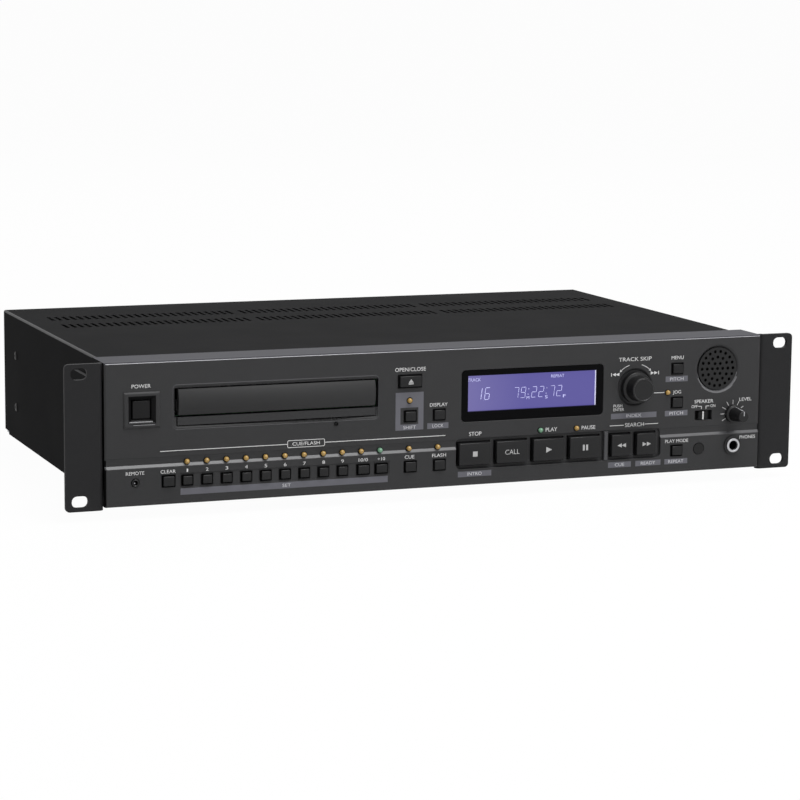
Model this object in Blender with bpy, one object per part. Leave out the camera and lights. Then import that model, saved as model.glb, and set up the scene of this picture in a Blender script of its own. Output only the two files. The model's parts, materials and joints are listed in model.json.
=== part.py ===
"""Rack CD player, two units high, as an assembly of separate pieces.

Metres, +Z up. The front faces -Y and +X is on the right of the person in front.
The origin is under the middle of the whole unit, on the surface its feet stand on.
Depths are counted back from the front faces of the rack ears, heights up from the
ears' lower edges, and shares are parts of the front panel's width or height.
"""

import math
from collections import namedtuple

import bmesh
import bpy
from mathutils import Matrix, Vector

# The unit as a whole
RACK_WIDTH = 0.4826
EAR_HEIGHT = 0.088
FOOT_DROP = 0.0065
SHEET = 0.0012
FIT = 0.0003
OVERRUN = 0.002
DISC_SIDES = 64
WELL_SIDES = 48
ROUND_SIDES = 32
JACK_SIDES = 24
BORE_SIDES = 16
SMALL_SIDES = 12
HOLE_SIDES = 8
EDGE_TURN = 30

# Rack ears
EAR_WIDTH = 0.0233
EAR_THICKNESS = 0.0025
EAR_BEND_RADIUS = 0.0005
EAR_CORNER_RADIUS = 0.0025
EAR_FLANGE_DEPTH = 0.06
EAR_FLANGE_MARGIN = 0.012
EAR_PAD_RADIUS = 0.005
EAR_PAD_SHARES = (0.3, 0.7)
RACK_SLOT_LENGTH = 0.01
RACK_SLOT_HEIGHT = 0.007
RACK_SLOT_INSET = 0.00875
RACK_SLOT_MARGIN = 0.0059

# Front panel
PANEL_LIFT = 0.0017
PANEL_PROUD = 0.0013
PANEL_WALL = 0.0029
PANEL_RIM = 0.0025
PANEL_DEPTH = 0.0276
PANEL_EDGE = 0.0008
LEDGE_PROUD = 0.001
LEDGE_SLOPE = 0.0016
COVE_HEIGHT = 0.0045
COVE_DEPTH = 0.0004
LEDGE_SHARE = 0.265
BOSS_RADIUS = 0.0025
BOSS_HIGH_SHARES = ((-0.46, 0.907), (0.0, 0.907), (0.26, 0.907))
BOSS_LOW_SHARES = ((-0.44, 0.067), (-0.082, 0.067), (0.3415, 0.067))

# Keys
KEY_GAP = 0.0003
KEY_LIP = 0.0009
KEY_FLANGE = 0.001
KEY_PROUD = 0.0014
KEY_CHAMFER = 0.0005
KEY_TRAVEL = 0.0006
NUMBER_KEY_SHARES = (0.0156, 0.0718)
TEN_KEY_SHARES = (0.0184, 0.0718)
FUNCTION_KEY_SHARES = (0.0182, 0.08)
EJECT_KEY_SHARES = (0.0577, 0.0904)
EJECT_KEY_PROUD = 0.002
NUMBER_KEYS = 9
NUMBER_FIRST_SHARE = -0.3845
NUMBER_PITCH_SHARE = 0.02825
TEN_SHARES = (-0.1277, -0.1005)
LOW_ROW_SHARE = 0.1634
STRIP_MARGIN = 0.0008
STRIP_DEPTH = 0.0004
LOW_KEY_SHARES = {"clear_key": -0.4113, "cue_key": -0.0567, "flash_key": -0.0124, "play_mode_key": 0.3634}
HIGH_KEY_SHARES = {
    "shift_key": (0.0796, 0.5249),
    "display_key": (0.1525, 0.5255),
    "menu_key": (0.7735, 0.7752),
    "jog_key": (0.774, 0.5214),
}
HIGH_KEY_WIDTH_SHARE = 0.03
EJECT_SHARES = (0.0783, 0.7775)

# Transport keys and the bay they stand in
BAY_LEFT_SHARE = 0.0133
BAY_RIGHT_SHARE = 0.3372
BAY_BOTTOM_SHARE = 0.1205
BAY_TOP_SHARE = 0.3372
BAY_DEPTH = 0.0013
BAY_RADIUS = 0.003
BAY_LIP = 0.0016
BAY_LEFT_LIP = 0.0008
BAY_RIGHT_LIP = 0.0028
DIVIDER = 0.0022
SEPARATOR = 0.0062
NARROW_SHARE = 0.6725
TRANSPORT_GAP = 0.0005
TRANSPORT_LIP = 0.0008
TRANSPORT_PROUD = 0.0015
TRANSPORT_CHAMFER = 0.0006
TRANSPORT_TRAVEL = 0.0012
WIDE_KEYS = ("stop_key", "call_key", "play_key", "pause_key")
NARROW_KEYS = ("search_back_key", "search_forward_key")

# Power button and its frame
POWER_SHARES = (-0.4479, 0.6674)
POWER_FRAME_SHARES = (0.0521, 0.2514)
POWER_FRAME_PROUD = 0.0012
POWER_FRAME_CHAMFER = 0.0009
POWER_RIM_WIDTH = 0.00295
POWER_RIM_HEIGHT = 0.00245
POWER_MOUTH_DEPTH = 0.0024
POWER_MOUTH_TAPER = 0.0022
POWER_SUNK = 0.0022
POWER_TRAVEL = 0.0025

# Lamps
LAMP_RADIUS = 0.0015
LAMP_GAP = 0.0002
LAMP_PROUD = 0.0006
LAMP_ROW_SHARE = 0.2932
LAMP_ROW_COUNT = 11
LAMP_SHARES = (
    (-0.0583, LAMP_ROW_SHARE),
    (-0.0145, LAMP_ROW_SHARE),
    (0.1449, 0.372),
    (0.2019, 0.372),
)
HIGH_LAMP_SHARES = ((0.0777, 0.6385), (0.7485, 0.6002))

# Display
WINDOW_SHARES = (0.3926, 0.6477)
WINDOW_SIZE_SHARES = (0.3654, 0.3685)
WINDOW_RADIUS = 0.0025
WINDOW_SUNK = 0.0004
WINDOW_LIP = 0.0012
MODULE_MARGIN = 0.002

# Front board
BOARD_DEPTH = 0.009
BOARD_THICKNESS = 0.0016
BOARD_MARGIN = 0.0012
SWITCH_SIZE = 0.005
SOLDER = 0.0004
BODY_DEPTH = 0.0052

# Jog knob
JOG_SHARES = (0.6608, 0.6512)
JOG_DISH_RADIUS = 0.0121
JOG_DISH_DEPTH = 0.0012
JOG_RADIUS = 0.01
JOG_FRONT_RADIUS = 0.0075
JOG_LENGTH = 0.0125
JOG_EDGE = 0.0006
JOG_HOLE_RADIUS = 0.0045
JOG_TRAVEL = 0.0006
JOG_SHAFT_RADIUS = 0.002
PLUNGER_WALL = 0.001
ENCODER_SIZE = 0.012

# Level knob
LEVEL_SHARES = (0.9278, 0.416)
LEVEL_RADIUS = 0.0058
LEVEL_FRONT_RADIUS = 0.0035
LEVEL_LENGTH = 0.0155
LEVEL_SKIRT = 0.003
LEVEL_HOLE_RADIUS = 0.0036
LEVEL_SHAFT_RADIUS = 0.003
POT_SIZE = 0.0095

# Monitor speaker and its switch
SPEAKER_SHARES = (0.8834, 0.7601)
GRILLE_SHARE = 0.1593
GRILLE_THICKNESS = 0.0012
GRILLE_SEAT = 0.0012
GRILLE_SUNK = 0.0003
GRILLE_MOUTH = 0.0013
GRILLE_HOLE_SHARE = 0.0764
GRILLE_PITCH_SHARE = 0.269
GRILLE_RINGS = 3
SPEAKER_DEPTH = 0.009
MAGNET_SHARE = 0.55
SLIDER_SHARES = (0.8473, 0.4143)
SLIDER_OPENING_WIDTH = 0.0121
SLIDER_OPENING_HEIGHT = 0.0063
SLIDER_CAP_WIDTH = 0.0064
SLIDER_CAP_HEIGHT = 0.0052
SLIDER_REST = 0.0025
SLIDER_PROUD = 0.0002
SLIDER_PLATE_LIP = 0.0012

# Jacks and the infrared window
PHONES_SHARES = (0.4554, 0.1796)
PHONES_BORE_RADIUS = 0.0032
PHONES_RING_RADIUS = 0.0046
PHONES_NUT_RADIUS = 0.006
PHONES_NUT = 0.0008
PHONES_RING_PROUD = 0.0006
PHONES_BODY = 0.014
PHONES_BODY_DEPTH = 0.021
REMOTE_SHARES = (-0.458, LOW_ROW_SHARE)
REMOTE_RADIUS = 0.0023
REMOTE_BORE_RADIUS = 0.0014
REMOTE_BODY = 0.008
INFRARED_SHARES = (0.4001, 0.1657)
INFRARED_RADIUS = 0.0036

# Disc tray
DISC_RADIUS = 0.06
DISC_ROOM = 0.0005
SMALL_DISC_RADIUS = 0.0405
TRAY_LEFT_SHARE = 0.0984
TRAY_HEIGHT_SHARE = 0.708
TRAY_SIDE = 0.0025
TRAY_SIDE_GAP = 0.00165
TRAY_FLOOR = 0.002
TRAY_RECESS = 0.0048
SMALL_RECESS = 0.0008
TRAY_SLOT = 0.041
TRAY_BROW = 0.0095
TRAY_TAIL = 0.054
TRAY_LIFT = 0.002
DOOR_HEIGHT = 0.0156
DOOR_GAP = 0.0022
DOOR_TOP_GAP = 0.0008
DOOR_BOTTOM_GAP = 0.0013
DOOR_BULGE = 0.0015
DOOR_THICKNESS = 0.003
DOOR_STEPS = 10
BAR_HEIGHT = 0.0048
BAR_SEAM = 0.0006
BAR_STEP = 0.0012
EJECT_HOLE_RADIUS = 0.0009
EJECT_HOLE_SHARE = 0.275
SURROUND_MARGIN = 0.0011
SURROUND_DEPTH = 0.0005
SURROUND_RADIUS = 0.002
BEZEL_LIP = 0.003
BEZEL_BACK = 0.0012

# Drive mechanism
GEAR_MODULE = 0.001
GEAR_TEETH = 30
GEAR_THICKNESS = 0.0022
GEAR_BACKLASH = 0.0006
TOOTH_TIP_SHARE = 0.75
TOOTH_ROOT_SHARE = 1.1
TOOTH_SLOPE = math.tan(math.radians(20))
GEAR_INSET = 0.0145
GEAR_BORE_RADIUS = 0.002
RACK_INSET = 0.003
RACK_THICKNESS = 0.003
LOADER_WALL = 0.002
LOADER_RAIL = 0.0022
LOADER_RAIL_HEIGHT = 0.003
LOADER_DECK_DROP = 0.018
LOADER_HEAD = 0.0085
LOADER_TAIL = 0.002
LOADER_GAP = 0.0027
BRIDGE_WIDTH = 0.036
BRIDGE_THICKNESS = 0.0015
HUB_RADIUS = 0.0132
HUB_NOSE_RADIUS = 0.0074
HUB_NOSE = 0.0012
HUB_THICKNESS = 0.0026
HUB_PROUD = 0.0008
SPINDLE_RADIUS = 0.0015
MOTOR_RADIUS = 0.012
MOTOR_GAP = 0.0008
CLAMP_RADIUS = 0.0125
CLAMP_SEAT = 0.002
CLAMP_CLEAR = 0.0015
PICKUP_NEAR = 0.024
PICKUP_TRAVEL = 0.034
PICKUP_WIDTH = 0.044
PICKUP_LENGTH = 0.022
PICKUP_HEIGHT = 0.008
PICKUP_BELOW = 0.0015
LENS_RADIUS = 0.004
ROD_SPREAD = 0.016
ROD_RADIUS = 0.0015
ROD_BLOCK = 0.006

# Case
CASE_INSET = 0.0035
COVER_STEP = 0.0011
CHASSIS_LIFT = 0.0026
COVER_LENGTH = 0.2504
CHASSIS_FLANGE = 0.018
VENT_COUNT = 26
VENT_PITCH_SHARE = 0.01139
VENT_WIDTH_SHARE = 0.464
VENT_LENGTH_SHARE = 0.07
VENT_ROW_SHARES = (0.6146, 0.7704)
VENT_GROUP_SHARES = (-0.3064, 0.0, 0.3064)
NOTCH_LENGTH = 0.011
NOTCH_HEIGHT = 0.0023
FOOT_RADIUS = 0.011
FOOT_TOE_RADIUS = 0.0095
FOOT_SPREAD_SHARE = 0.379
FOOT_FRONT_DEPTH = 0.08
FOOT_REAR_INSET = 0.035
FOOT_HOLLOW_RADIUS = 0.004
FOOT_HOLLOW = 0.003

# Inner boards
STANDOFF = 0.006
STANDOFF_RADIUS = 0.003
INNER_BOARD = 0.0016
MAIN_BOARD_SHARES = (0.39, 0.6)
MAIN_BOARD_SHARE = 0.25
SUPPLY_BOARD_WIDTH_SHARE = 0.3
SUPPLY_BOARD_SHARE = -0.29
SUPPLY_BOARD_GAP = 0.004
BOARD_REAR_GAP = 0.012
BOARD_HOLE_INSET = 0.006
CHIP_SIZE = (0.022, 0.022, 0.0025)
CHIP_SHARES = ((-0.2, 0.1), (0.1, 0.15), (0.3, -0.2))
CAPACITOR_RADIUS = 0.005
CAPACITOR_HEIGHT = 0.013
CAPACITOR_SHARES = ((-0.35, 0.3), (-0.35, -0.1), (0.36, 0.32))
TRANSFORMER_WIDTH = 0.036
TRANSFORMER_LENGTH_SHARE = 300 / 713
TRANSFORMER_HEIGHT = 0.026
TRANSFORMER_SHARES = (-0.22, 0.0)
SINK_WIDTH = 0.004
SINK_LENGTH_SHARE = 400 / 713
SINK_HEIGHT = 0.026
SINK_SHARES = (0.12, 0.0)
BULK_RADIUS = 0.009
BULK_HEIGHT = 0.024
BULK_SHARES = (0.33, 0.12)

# Rear panel
SOCKET_HEIGHT_SHARE = 0.52
INLET_SHARE = -0.39
INLET_WIDTH = 0.0275
INLET_HEIGHT = 0.0202
INLET_WALL = 0.0016
INLET_DEPTH = 0.019
INLET_FLANGE = 0.0016
INLET_LIP = 0.0022
INLET_CHAMFER = 0.005
XLR_SHARES = (0.22, 0.3)
XLR_RADIUS = 0.0105
XLR_CAVITY_RADIUS = 0.0078
XLR_PROUD = 0.001
XLR_DEPTH = 0.014
PHONO_SHARES = (0.36, 0.41)
PHONO_ROW_SHARES = (0.38, 0.66)
PHONO_RADIUS = 0.0042
PHONO_BORE_RADIUS = 0.0016
PHONO_PROUD = 0.009
CONTROL_SHARES = (-0.1, 0.05)
CONTROL_WIDTH = 0.034
CONTROL_HEIGHT = 0.0085
CONTROL_PROUD = 0.0055
CONTROL_TAPER = 0.0012

# Sizes that follow
PANEL_WIDTH = RACK_WIDTH - 2 * (EAR_WIDTH + FIT)
PANEL_HEIGHT = EAR_HEIGHT - PANEL_LIFT
WALL_BACK = PANEL_WALL - PANEL_PROUD
FLANGE_FRONT = WALL_BACK + FIT
FLANGE_BACK = FLANGE_FRONT + KEY_FLANGE
PANEL_REAR = PANEL_DEPTH - PANEL_PROUD
CASE_WIDTH = PANEL_WIDTH - 2 * CASE_INSET
COVER_TOP = EAR_HEIGHT - COVER_STEP
CASE_FRONT = PANEL_REAR + FIT
CASE_REAR = CASE_FRONT + COVER_LENGTH
INNER_WIDTH = CASE_WIDTH - 2 * (SHEET + FIT)
FRONT_REACH = PANEL_PROUD + max(LEVEL_LENGTH, JOG_LENGTH)
EAR_PLANE = (FRONT_REACH - CASE_REAR - PHONO_PROUD) / 2
FLOOR_TOP = CHASSIS_LIFT + SHEET
BAY_WIDTH = (BAY_RIGHT_SHARE - BAY_LEFT_SHARE) * PANEL_WIDTH
GRILLE_RADIUS = GRILLE_SHARE * PANEL_HEIGHT
BAY_CLEAR = BAY_WIDTH - BAY_LEFT_LIP - BAY_RIGHT_LIP - SEPARATOR
BAY_CLEAR -= (len(WIDE_KEYS) + len(NARROW_KEYS) - 2) * DIVIDER
WIDE_OPENING = BAY_CLEAR / (len(WIDE_KEYS) + len(NARROW_KEYS) * NARROW_SHARE)
BAY_OPENING_HEIGHT = (BAY_TOP_SHARE - BAY_BOTTOM_SHARE) * PANEL_HEIGHT - 2 * BAY_LIP
LOW_FACE = -PANEL_PROUD - LEDGE_PROUD
HIGH_FACE = -PANEL_PROUD
TRAY_WIDTH = 2 * (DISC_RADIUS + DISC_ROOM + TRAY_SIDE)
TRAY_OPENING_WIDTH = TRAY_WIDTH + 2 * TRAY_SIDE_GAP
TRAY_X = (TRAY_LEFT_SHARE * PANEL_WIDTH) + (TRAY_OPENING_WIDTH - PANEL_WIDTH) / 2
TRAY_RIGHT = TRAY_X + TRAY_OPENING_WIDTH / 2
SIDE_ROOM = PANEL_WIDTH / 2 - TRAY_RIGHT
WINDOW_WIDTH = WINDOW_SIZE_SHARES[0] * SIDE_ROOM
WINDOW_HEIGHT = WINDOW_SIZE_SHARES[1] * PANEL_HEIGHT
DOOR_WIDTH = TRAY_OPENING_WIDTH - 2 * DOOR_GAP
DOOR_BOTTOM = PANEL_LIFT + TRAY_HEIGHT_SHARE * PANEL_HEIGHT - DOOR_HEIGHT / 2
DOOR_TOP = DOOR_BOTTOM + DOOR_HEIGHT
TRAY_OPENING_BOTTOM = DOOR_BOTTOM - DOOR_BOTTOM_GAP
TRAY_OPENING_TOP = DOOR_TOP + DOOR_TOP_GAP
TRAY_UNDERSIDE = DOOR_BOTTOM + TRAY_LIFT
TRAY_RIM = TRAY_UNDERSIDE + TRAY_FLOOR + TRAY_RECESS
TRAY_FRONT = HIGH_FACE + DOOR_THICKNESS + FIT
DISC_DEPTH = TRAY_FRONT + TRAY_BROW + DISC_RADIUS + DISC_ROOM
TRAY_REAR = DISC_DEPTH + DISC_RADIUS + DISC_ROOM + TRAY_TAIL
RACK_LINE = TRAY_WIDTH / 2 - RACK_INSET - RACK_THICKNESS
GEAR_RADIUS = GEAR_MODULE * GEAR_TEETH / 2
LOADER_HALF = TRAY_WIDTH / 2 + FIT
LOADER_START = CASE_FRONT + SHEET + LOADER_GAP
LOADER_END = TRAY_REAR + LOADER_TAIL
GEAR_DEPTH = LOADER_START + GEAR_INSET
BOARD_REAR = CASE_REAR - SHEET - BOARD_REAR_GAP
MAIN_BOARD_SIZE = (MAIN_BOARD_SHARES[0] * PANEL_WIDTH, MAIN_BOARD_SHARES[1] * COVER_LENGTH)
SUPPLY_BOARD_SIZE = (SUPPLY_BOARD_WIDTH_SHARE * PANEL_WIDTH, BOARD_REAR - LOADER_END - SUPPLY_BOARD_GAP)
VENT_PITCH = VENT_PITCH_SHARE * PANEL_WIDTH
VENT_WIDTH = VENT_WIDTH_SHARE * VENT_PITCH
VENT_LENGTH = VENT_LENGTH_SHARE * COVER_LENGTH
DECK_TOP = TRAY_UNDERSIDE - LOADER_DECK_DROP
LOADER_TOP = TRAY_RIM + LOADER_HEAD
HUB_TOP = TRAY_UNDERSIDE + TRAY_FLOOR + HUB_PROUD
HUB_BOTTOM = HUB_TOP - HUB_THICKNESS
PICKUP_TOP = TRAY_UNDERSIDE - PICKUP_BELOW
ROD_HEIGHT = PICKUP_TOP - PICKUP_HEIGHT / 2

Key = namedtuple("Key", "x z width height gap lip face travel chamfer")


def across(share):
    """Place along X of a share of the panel's width."""
    return share * PANEL_WIDTH


def beside(share):
    """Place along X of a share of the room between the tray's opening and the panel's right end."""
    return TRAY_RIGHT + share * SIDE_ROOM


def rise(share):
    """Place along Z of a share of the panel's height."""
    return FOOT_DROP + PANEL_LIFT + share * PANEL_HEIGHT


def deep(depth):
    """Place along Y of a depth behind the ears' front faces."""
    return EAR_PLANE + depth


def high(height):
    """Place along Z of a height above the ears' lower edges."""
    return FOOT_DROP + height


def finish(name, colour, roughness, metallic=0.0):
    """A plain surface finish."""
    material = bpy.data.materials.get(name)
    if material:
        return material
    material = bpy.data.materials.new(name)
    material.use_nodes = True
    shader = material.node_tree.nodes["Principled BSDF"]
    shader.inputs["Base Color"].default_value = (*colour, 1.0)
    shader.inputs["Roughness"].default_value = roughness
    shader.inputs["Metallic"].default_value = metallic
    return material


def panel_finish():
    return finish("panel_grey", (0.055, 0.055, 0.057), 0.55)


def cap_finish():
    return finish("key_black", (0.03, 0.03, 0.031), 0.5)


def sheet_finish():
    return finish("painted_sheet", (0.02, 0.02, 0.021), 0.6)


def zinc_finish():
    return finish("zinc_steel", (0.55, 0.56, 0.58), 0.4, 0.9)


def moulding_finish():
    return finish("drive_plastic", (0.02, 0.02, 0.02), 0.5)


def board_finish():
    return finish("board_green", (0.02, 0.12, 0.05), 0.5)


def rubber_finish():
    return finish("rubber", (0.015, 0.015, 0.015), 0.85)


def lens_finish():
    return finish("dark_lens", (0.01, 0.01, 0.012), 0.12)


def piece(name, bm, material, origin=(0.0, 0.0, 0.0), smooth=False):
    """An object whose mesh was made in place, with its origin moved to the given point."""
    bmesh.ops.recalc_face_normals(bm, faces=bm.faces[:])
    mesh = bpy.data.meshes.new(name)
    bm.to_mesh(mesh)
    bm.free()
    mesh.transform(Matrix.Translation(-Vector(origin)))
    mesh.materials.append(material)
    if smooth:
        mesh.shade_smooth()
        mesh.set_sharp_from_angle(angle=math.radians(EDGE_TURN))
    made = bpy.data.objects.new(name, mesh)
    made.location = origin
    bpy.context.scene.collection.objects.link(made)
    return made


def tool(made, bm, operation):
    """A hidden body that a Boolean takes from a piece, or joins to it."""
    bmesh.ops.recalc_face_normals(bm, faces=bm.faces[:])
    count = len(made.modifiers)
    mesh = bpy.data.meshes.new(f"{made.name}_tool_{count}")
    bm.to_mesh(mesh)
    bm.free()
    helper = bpy.data.objects.new(mesh.name, mesh)
    helper.hide_render = True
    helper.display_type = "WIRE"
    bpy.context.scene.collection.objects.link(helper)
    modifier = made.modifiers.new(helper.name, "BOOLEAN")
    modifier.operation = operation
    modifier.solver = "EXACT"
    modifier.object = helper


def cut(made, bm):
    tool(made, bm, "DIFFERENCE")


def join(made, bm):
    tool(made, bm, "UNION")


def loft(bm, outlines):
    """One closed body through outlines of equally many points."""
    cap = bm.faces.new([bm.verts.new(point) for point in outlines[0]])
    corners = list(cap.verts)
    for index, outline in enumerate(outlines[1:]):
        grown = bmesh.ops.extrude_face_region(bm, geom=[cap])["geom"]
        fresh = {tuple(item.co): item for item in grown if isinstance(item, bmesh.types.BMVert)}
        if index:
            bm.faces.remove(cap)
        cap = next(item for item in grown if isinstance(item, bmesh.types.BMFace))
        corners = [fresh[tuple(corner.co)] for corner in corners]
        for corner, point in zip(corners, outline):
            corner.co = point


def box(bm, low, top):
    """A closed box between two opposite corners."""
    middle = [(a + b) / 2 for a, b in zip(low, top)]
    sides = [b - a for a, b in zip(low, top)]
    bmesh.ops.create_cube(bm, size=1, matrix=Matrix.Translation(middle) @ Matrix.Diagonal((*sides, 1)))


def block(bm, x, z, width, height, front, back):
    """A box centred on a place of the front, between two depths."""
    low = (x - width / 2, deep(front), z - height / 2)
    box(bm, low, (x + width / 2, deep(back), z + height / 2))


def rod(bm, start, end, radius, sides=SMALL_SIDES, end_radius=None):
    """A round bar or cone between two points."""
    start, end = Vector(start), Vector(end)
    line = end - start
    turn = line.to_track_quat("Z", "Y").to_matrix().to_4x4()
    bmesh.ops.create_cone(
        bm,
        cap_ends=True,
        segments=sides,
        radius1=radius,
        radius2=radius if end_radius is None else end_radius,
        depth=line.length,
        matrix=Matrix.Translation((start + end) / 2) @ turn,
    )


def peg(bm, x, z, radius, front, back, sides=SMALL_SIDES, end_radius=None):
    """A round bar along Y between two depths."""
    rod(bm, (x, deep(front), z), (x, deep(back), z), radius, sides, end_radius)


def turned(bm, profile, centre, axis, sides=ROUND_SIDES):
    """A turned body: the profile lists radius and distance along the axis."""
    axis = Vector(axis)
    side = axis.orthogonal().normalized()
    centre = Vector(centre)
    points = [bm.verts.new(centre + axis * along + side * radius) for radius, along in profile]
    edges = [bm.edges.new(pair) for pair in zip(points, points[1:])]
    bmesh.ops.spin(
        bm, geom=points + edges, cent=centre, axis=axis, angle=math.tau, steps=sides, use_merge=True
    )
    bmesh.ops.remove_doubles(bm, verts=bm.verts[:], dist=FIT / 100)


def arc(centre, radius, start, end, steps):
    """Points of an arc, in degrees."""
    turns = [math.radians(start + (end - start) * step / steps) for step in range(steps + 1)]
    return [(centre[0] + radius * math.cos(turn), centre[1] + radius * math.sin(turn)) for turn in turns]


def rounded(x, z, width, height, radius, steps=4):
    """A rectangle with round corners, anticlockwise from its lower right corner."""
    right, left = x + width / 2 - radius, x - width / 2 + radius
    top, low = z + height / 2 - radius, z - height / 2 + radius
    return (
        arc((right, low), radius, -90, 0, steps)
        + arc((right, top), radius, 0, 90, steps)
        + arc((left, top), radius, 90, 180, steps)
        + arc((left, low), radius, 180, 270, steps)
    )


def facing(outline, depth):
    """An outline of X and Z laid at a depth."""
    return [(x, deep(depth), z) for x, z in outline]


def slab(bm, outline, front, back):
    """An outline of X and Z between two depths."""
    loft(bm, [facing(outline, front), facing(outline, back)])


def rectangle(x, z, width, height):
    right, left = x + width / 2, x - width / 2
    top, low = z + height / 2, z - height / 2
    return [(left, low), (right, low), (right, top), (left, top)]


def small_keys():
    """The keys that stand in openings of their own."""
    keys = {}

    def add(name, x, z_share, width, height_share, front):
        height = height_share * PANEL_HEIGHT
        keys[name] = Key(x, rise(z_share), width, height, KEY_GAP, KEY_LIP, front, KEY_TRAVEL, KEY_CHAMFER)

    def add_low(name, share, size_shares):
        width = size_shares[0] * PANEL_WIDTH
        add(name, across(share), LOW_ROW_SHARE, width, size_shares[1], LOW_FACE - KEY_PROUD)

    for number in range(NUMBER_KEYS):
        share = NUMBER_FIRST_SHARE + number * NUMBER_PITCH_SHARE
        add_low(f"number_key_{number + 1}", share, NUMBER_KEY_SHARES)
    for name, share in zip(("number_key_10", "plus_ten_key"), TEN_SHARES):
        add_low(name, share, TEN_KEY_SHARES)
    for name, share in LOW_KEY_SHARES.items():
        add_low(name, share, FUNCTION_KEY_SHARES)
    width = HIGH_KEY_WIDTH_SHARE * SIDE_ROOM
    for name, (x_share, z_share) in HIGH_KEY_SHARES.items():
        add(name, beside(x_share), z_share, width, FUNCTION_KEY_SHARES[1], HIGH_FACE - KEY_PROUD)
    width = EJECT_KEY_SHARES[0] * SIDE_ROOM
    front = HIGH_FACE - EJECT_KEY_PROUD
    add("open_close_key", beside(EJECT_SHARES[0]), EJECT_SHARES[1], width, EJECT_KEY_SHARES[1], front)
    return keys


def transport_keys():
    """The large keys, side by side in the bay."""
    keys = {}
    z = rise((BAY_BOTTOM_SHARE + BAY_TOP_SHARE) / 2)
    front = LOW_FACE - TRANSPORT_PROUD
    left = across(BAY_LEFT_SHARE) + BAY_LEFT_LIP
    rows = ((WIDE_KEYS, WIDE_OPENING), (NARROW_KEYS, WIDE_OPENING * NARROW_SHARE))
    for names, opening in rows:
        for name in names:
            width = opening - 2 * TRANSPORT_GAP
            height = BAY_OPENING_HEIGHT - 2 * TRANSPORT_GAP
            keys[name] = Key(
                left + opening / 2, z, width, height, TRANSPORT_GAP, TRANSPORT_LIP, front,
                TRANSPORT_TRAVEL, TRANSPORT_CHAMFER,
            )
            left += opening + DIVIDER
        left += SEPARATOR - DIVIDER
    return keys


def power_sizes():
    """Width and height of the power button's frame and of the mouth inside it."""
    frame = (POWER_FRAME_SHARES[0] * PANEL_WIDTH, POWER_FRAME_SHARES[1] * PANEL_HEIGHT)
    mouth = (frame[0] - 2 * POWER_RIM_WIDTH, frame[1] - 2 * POWER_RIM_HEIGHT)
    return frame, mouth


def power_key():
    """The power button as a key, sunk in its frame."""
    x_share, z_share = POWER_SHARES
    front = HIGH_FACE - POWER_FRAME_PROUD + POWER_SUNK
    width, height = [side - 2 * (POWER_MOUTH_TAPER + KEY_GAP) for side in power_sizes()[1]]
    return Key(
        across(x_share), rise(z_share), width, height, KEY_GAP, KEY_LIP, front, POWER_TRAVEL, KEY_CHAMFER
    )


def lamp_places():
    """Centres of all the lamps on the panel."""
    row = [NUMBER_FIRST_SHARE + place * NUMBER_PITCH_SHARE for place in range(LAMP_ROW_COUNT)]
    low = [(across(x_share), rise(LAMP_ROW_SHARE)) for x_share in row]
    low += [(across(x_share), rise(z_share)) for x_share, z_share in LAMP_SHARES]
    return low + [(beside(x_share), rise(z_share)) for x_share, z_share in HIGH_LAMP_SHARES]


def make_key(name, key, material):
    """A cap that stands through its opening, on a flange that stays behind the wall."""
    lip = key.gap + key.lip
    foot = rectangle(key.x, key.z, key.width + 2 * lip, key.height + 2 * lip)
    neck = rectangle(key.x, key.z, key.width, key.height)
    crown = rectangle(key.x, key.z, key.width - 2 * key.chamfer, key.height - 2 * key.chamfer)
    bm = bmesh.new()
    loft(
        bm,
        [
            facing(foot, FLANGE_BACK),
            facing(foot, FLANGE_FRONT),
            facing(neck, FLANGE_FRONT),
            facing(neck, key.face + key.chamfer),
            facing(crown, key.face),
        ],
    )
    piece(name, bm, material, (key.x, deep(key.face), key.z))


def panel_section(shrink):
    """The panel's front line from its lower to its upper edge, as depth and height."""
    ledge = PANEL_LIFT + LEDGE_SHARE * PANEL_HEIGHT
    foot = ledge + LEDGE_SLOPE
    face, low = HIGH_FACE + shrink, LOW_FACE + shrink
    cove = [
        (face + COVE_DEPTH * math.cos(math.radians(turn)), foot + COVE_HEIGHT * math.sin(math.radians(turn)))
        for turn in (0, 30, 60, 90)
    ]
    front = [(low + PANEL_EDGE, PANEL_LIFT), (low, PANEL_LIFT + PANEL_EDGE), (low, ledge)]
    top = [(face, EAR_HEIGHT - PANEL_EDGE), (face + PANEL_EDGE, EAR_HEIGHT)]
    return front + cove + top + [(PANEL_REAR, EAR_HEIGHT), (PANEL_REAR, PANEL_LIFT)]


def panel_body():
    """The panel's outer form, drawn along X, with its end edges eased."""
    half = PANEL_WIDTH / 2
    bm = bmesh.new()
    stations = ((-half, PANEL_EDGE), (PANEL_EDGE - half, 0.0), (half - PANEL_EDGE, 0.0), (half, PANEL_EDGE))
    loft(bm, [[(x, deep(y), high(z)) for y, z in panel_section(shrink)] for x, shrink in stations])
    return bm


def panel_cavity():
    """The space inside the panel's rim."""
    bm = bmesh.new()
    low = high(PANEL_LIFT + PANEL_RIM)
    top = high(EAR_HEIGHT - PANEL_RIM)
    half = PANEL_WIDTH / 2 - PANEL_RIM
    box(bm, (-half, deep(WALL_BACK), low), (half, deep(PANEL_REAR + OVERRUN), top))
    return bm


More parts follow.
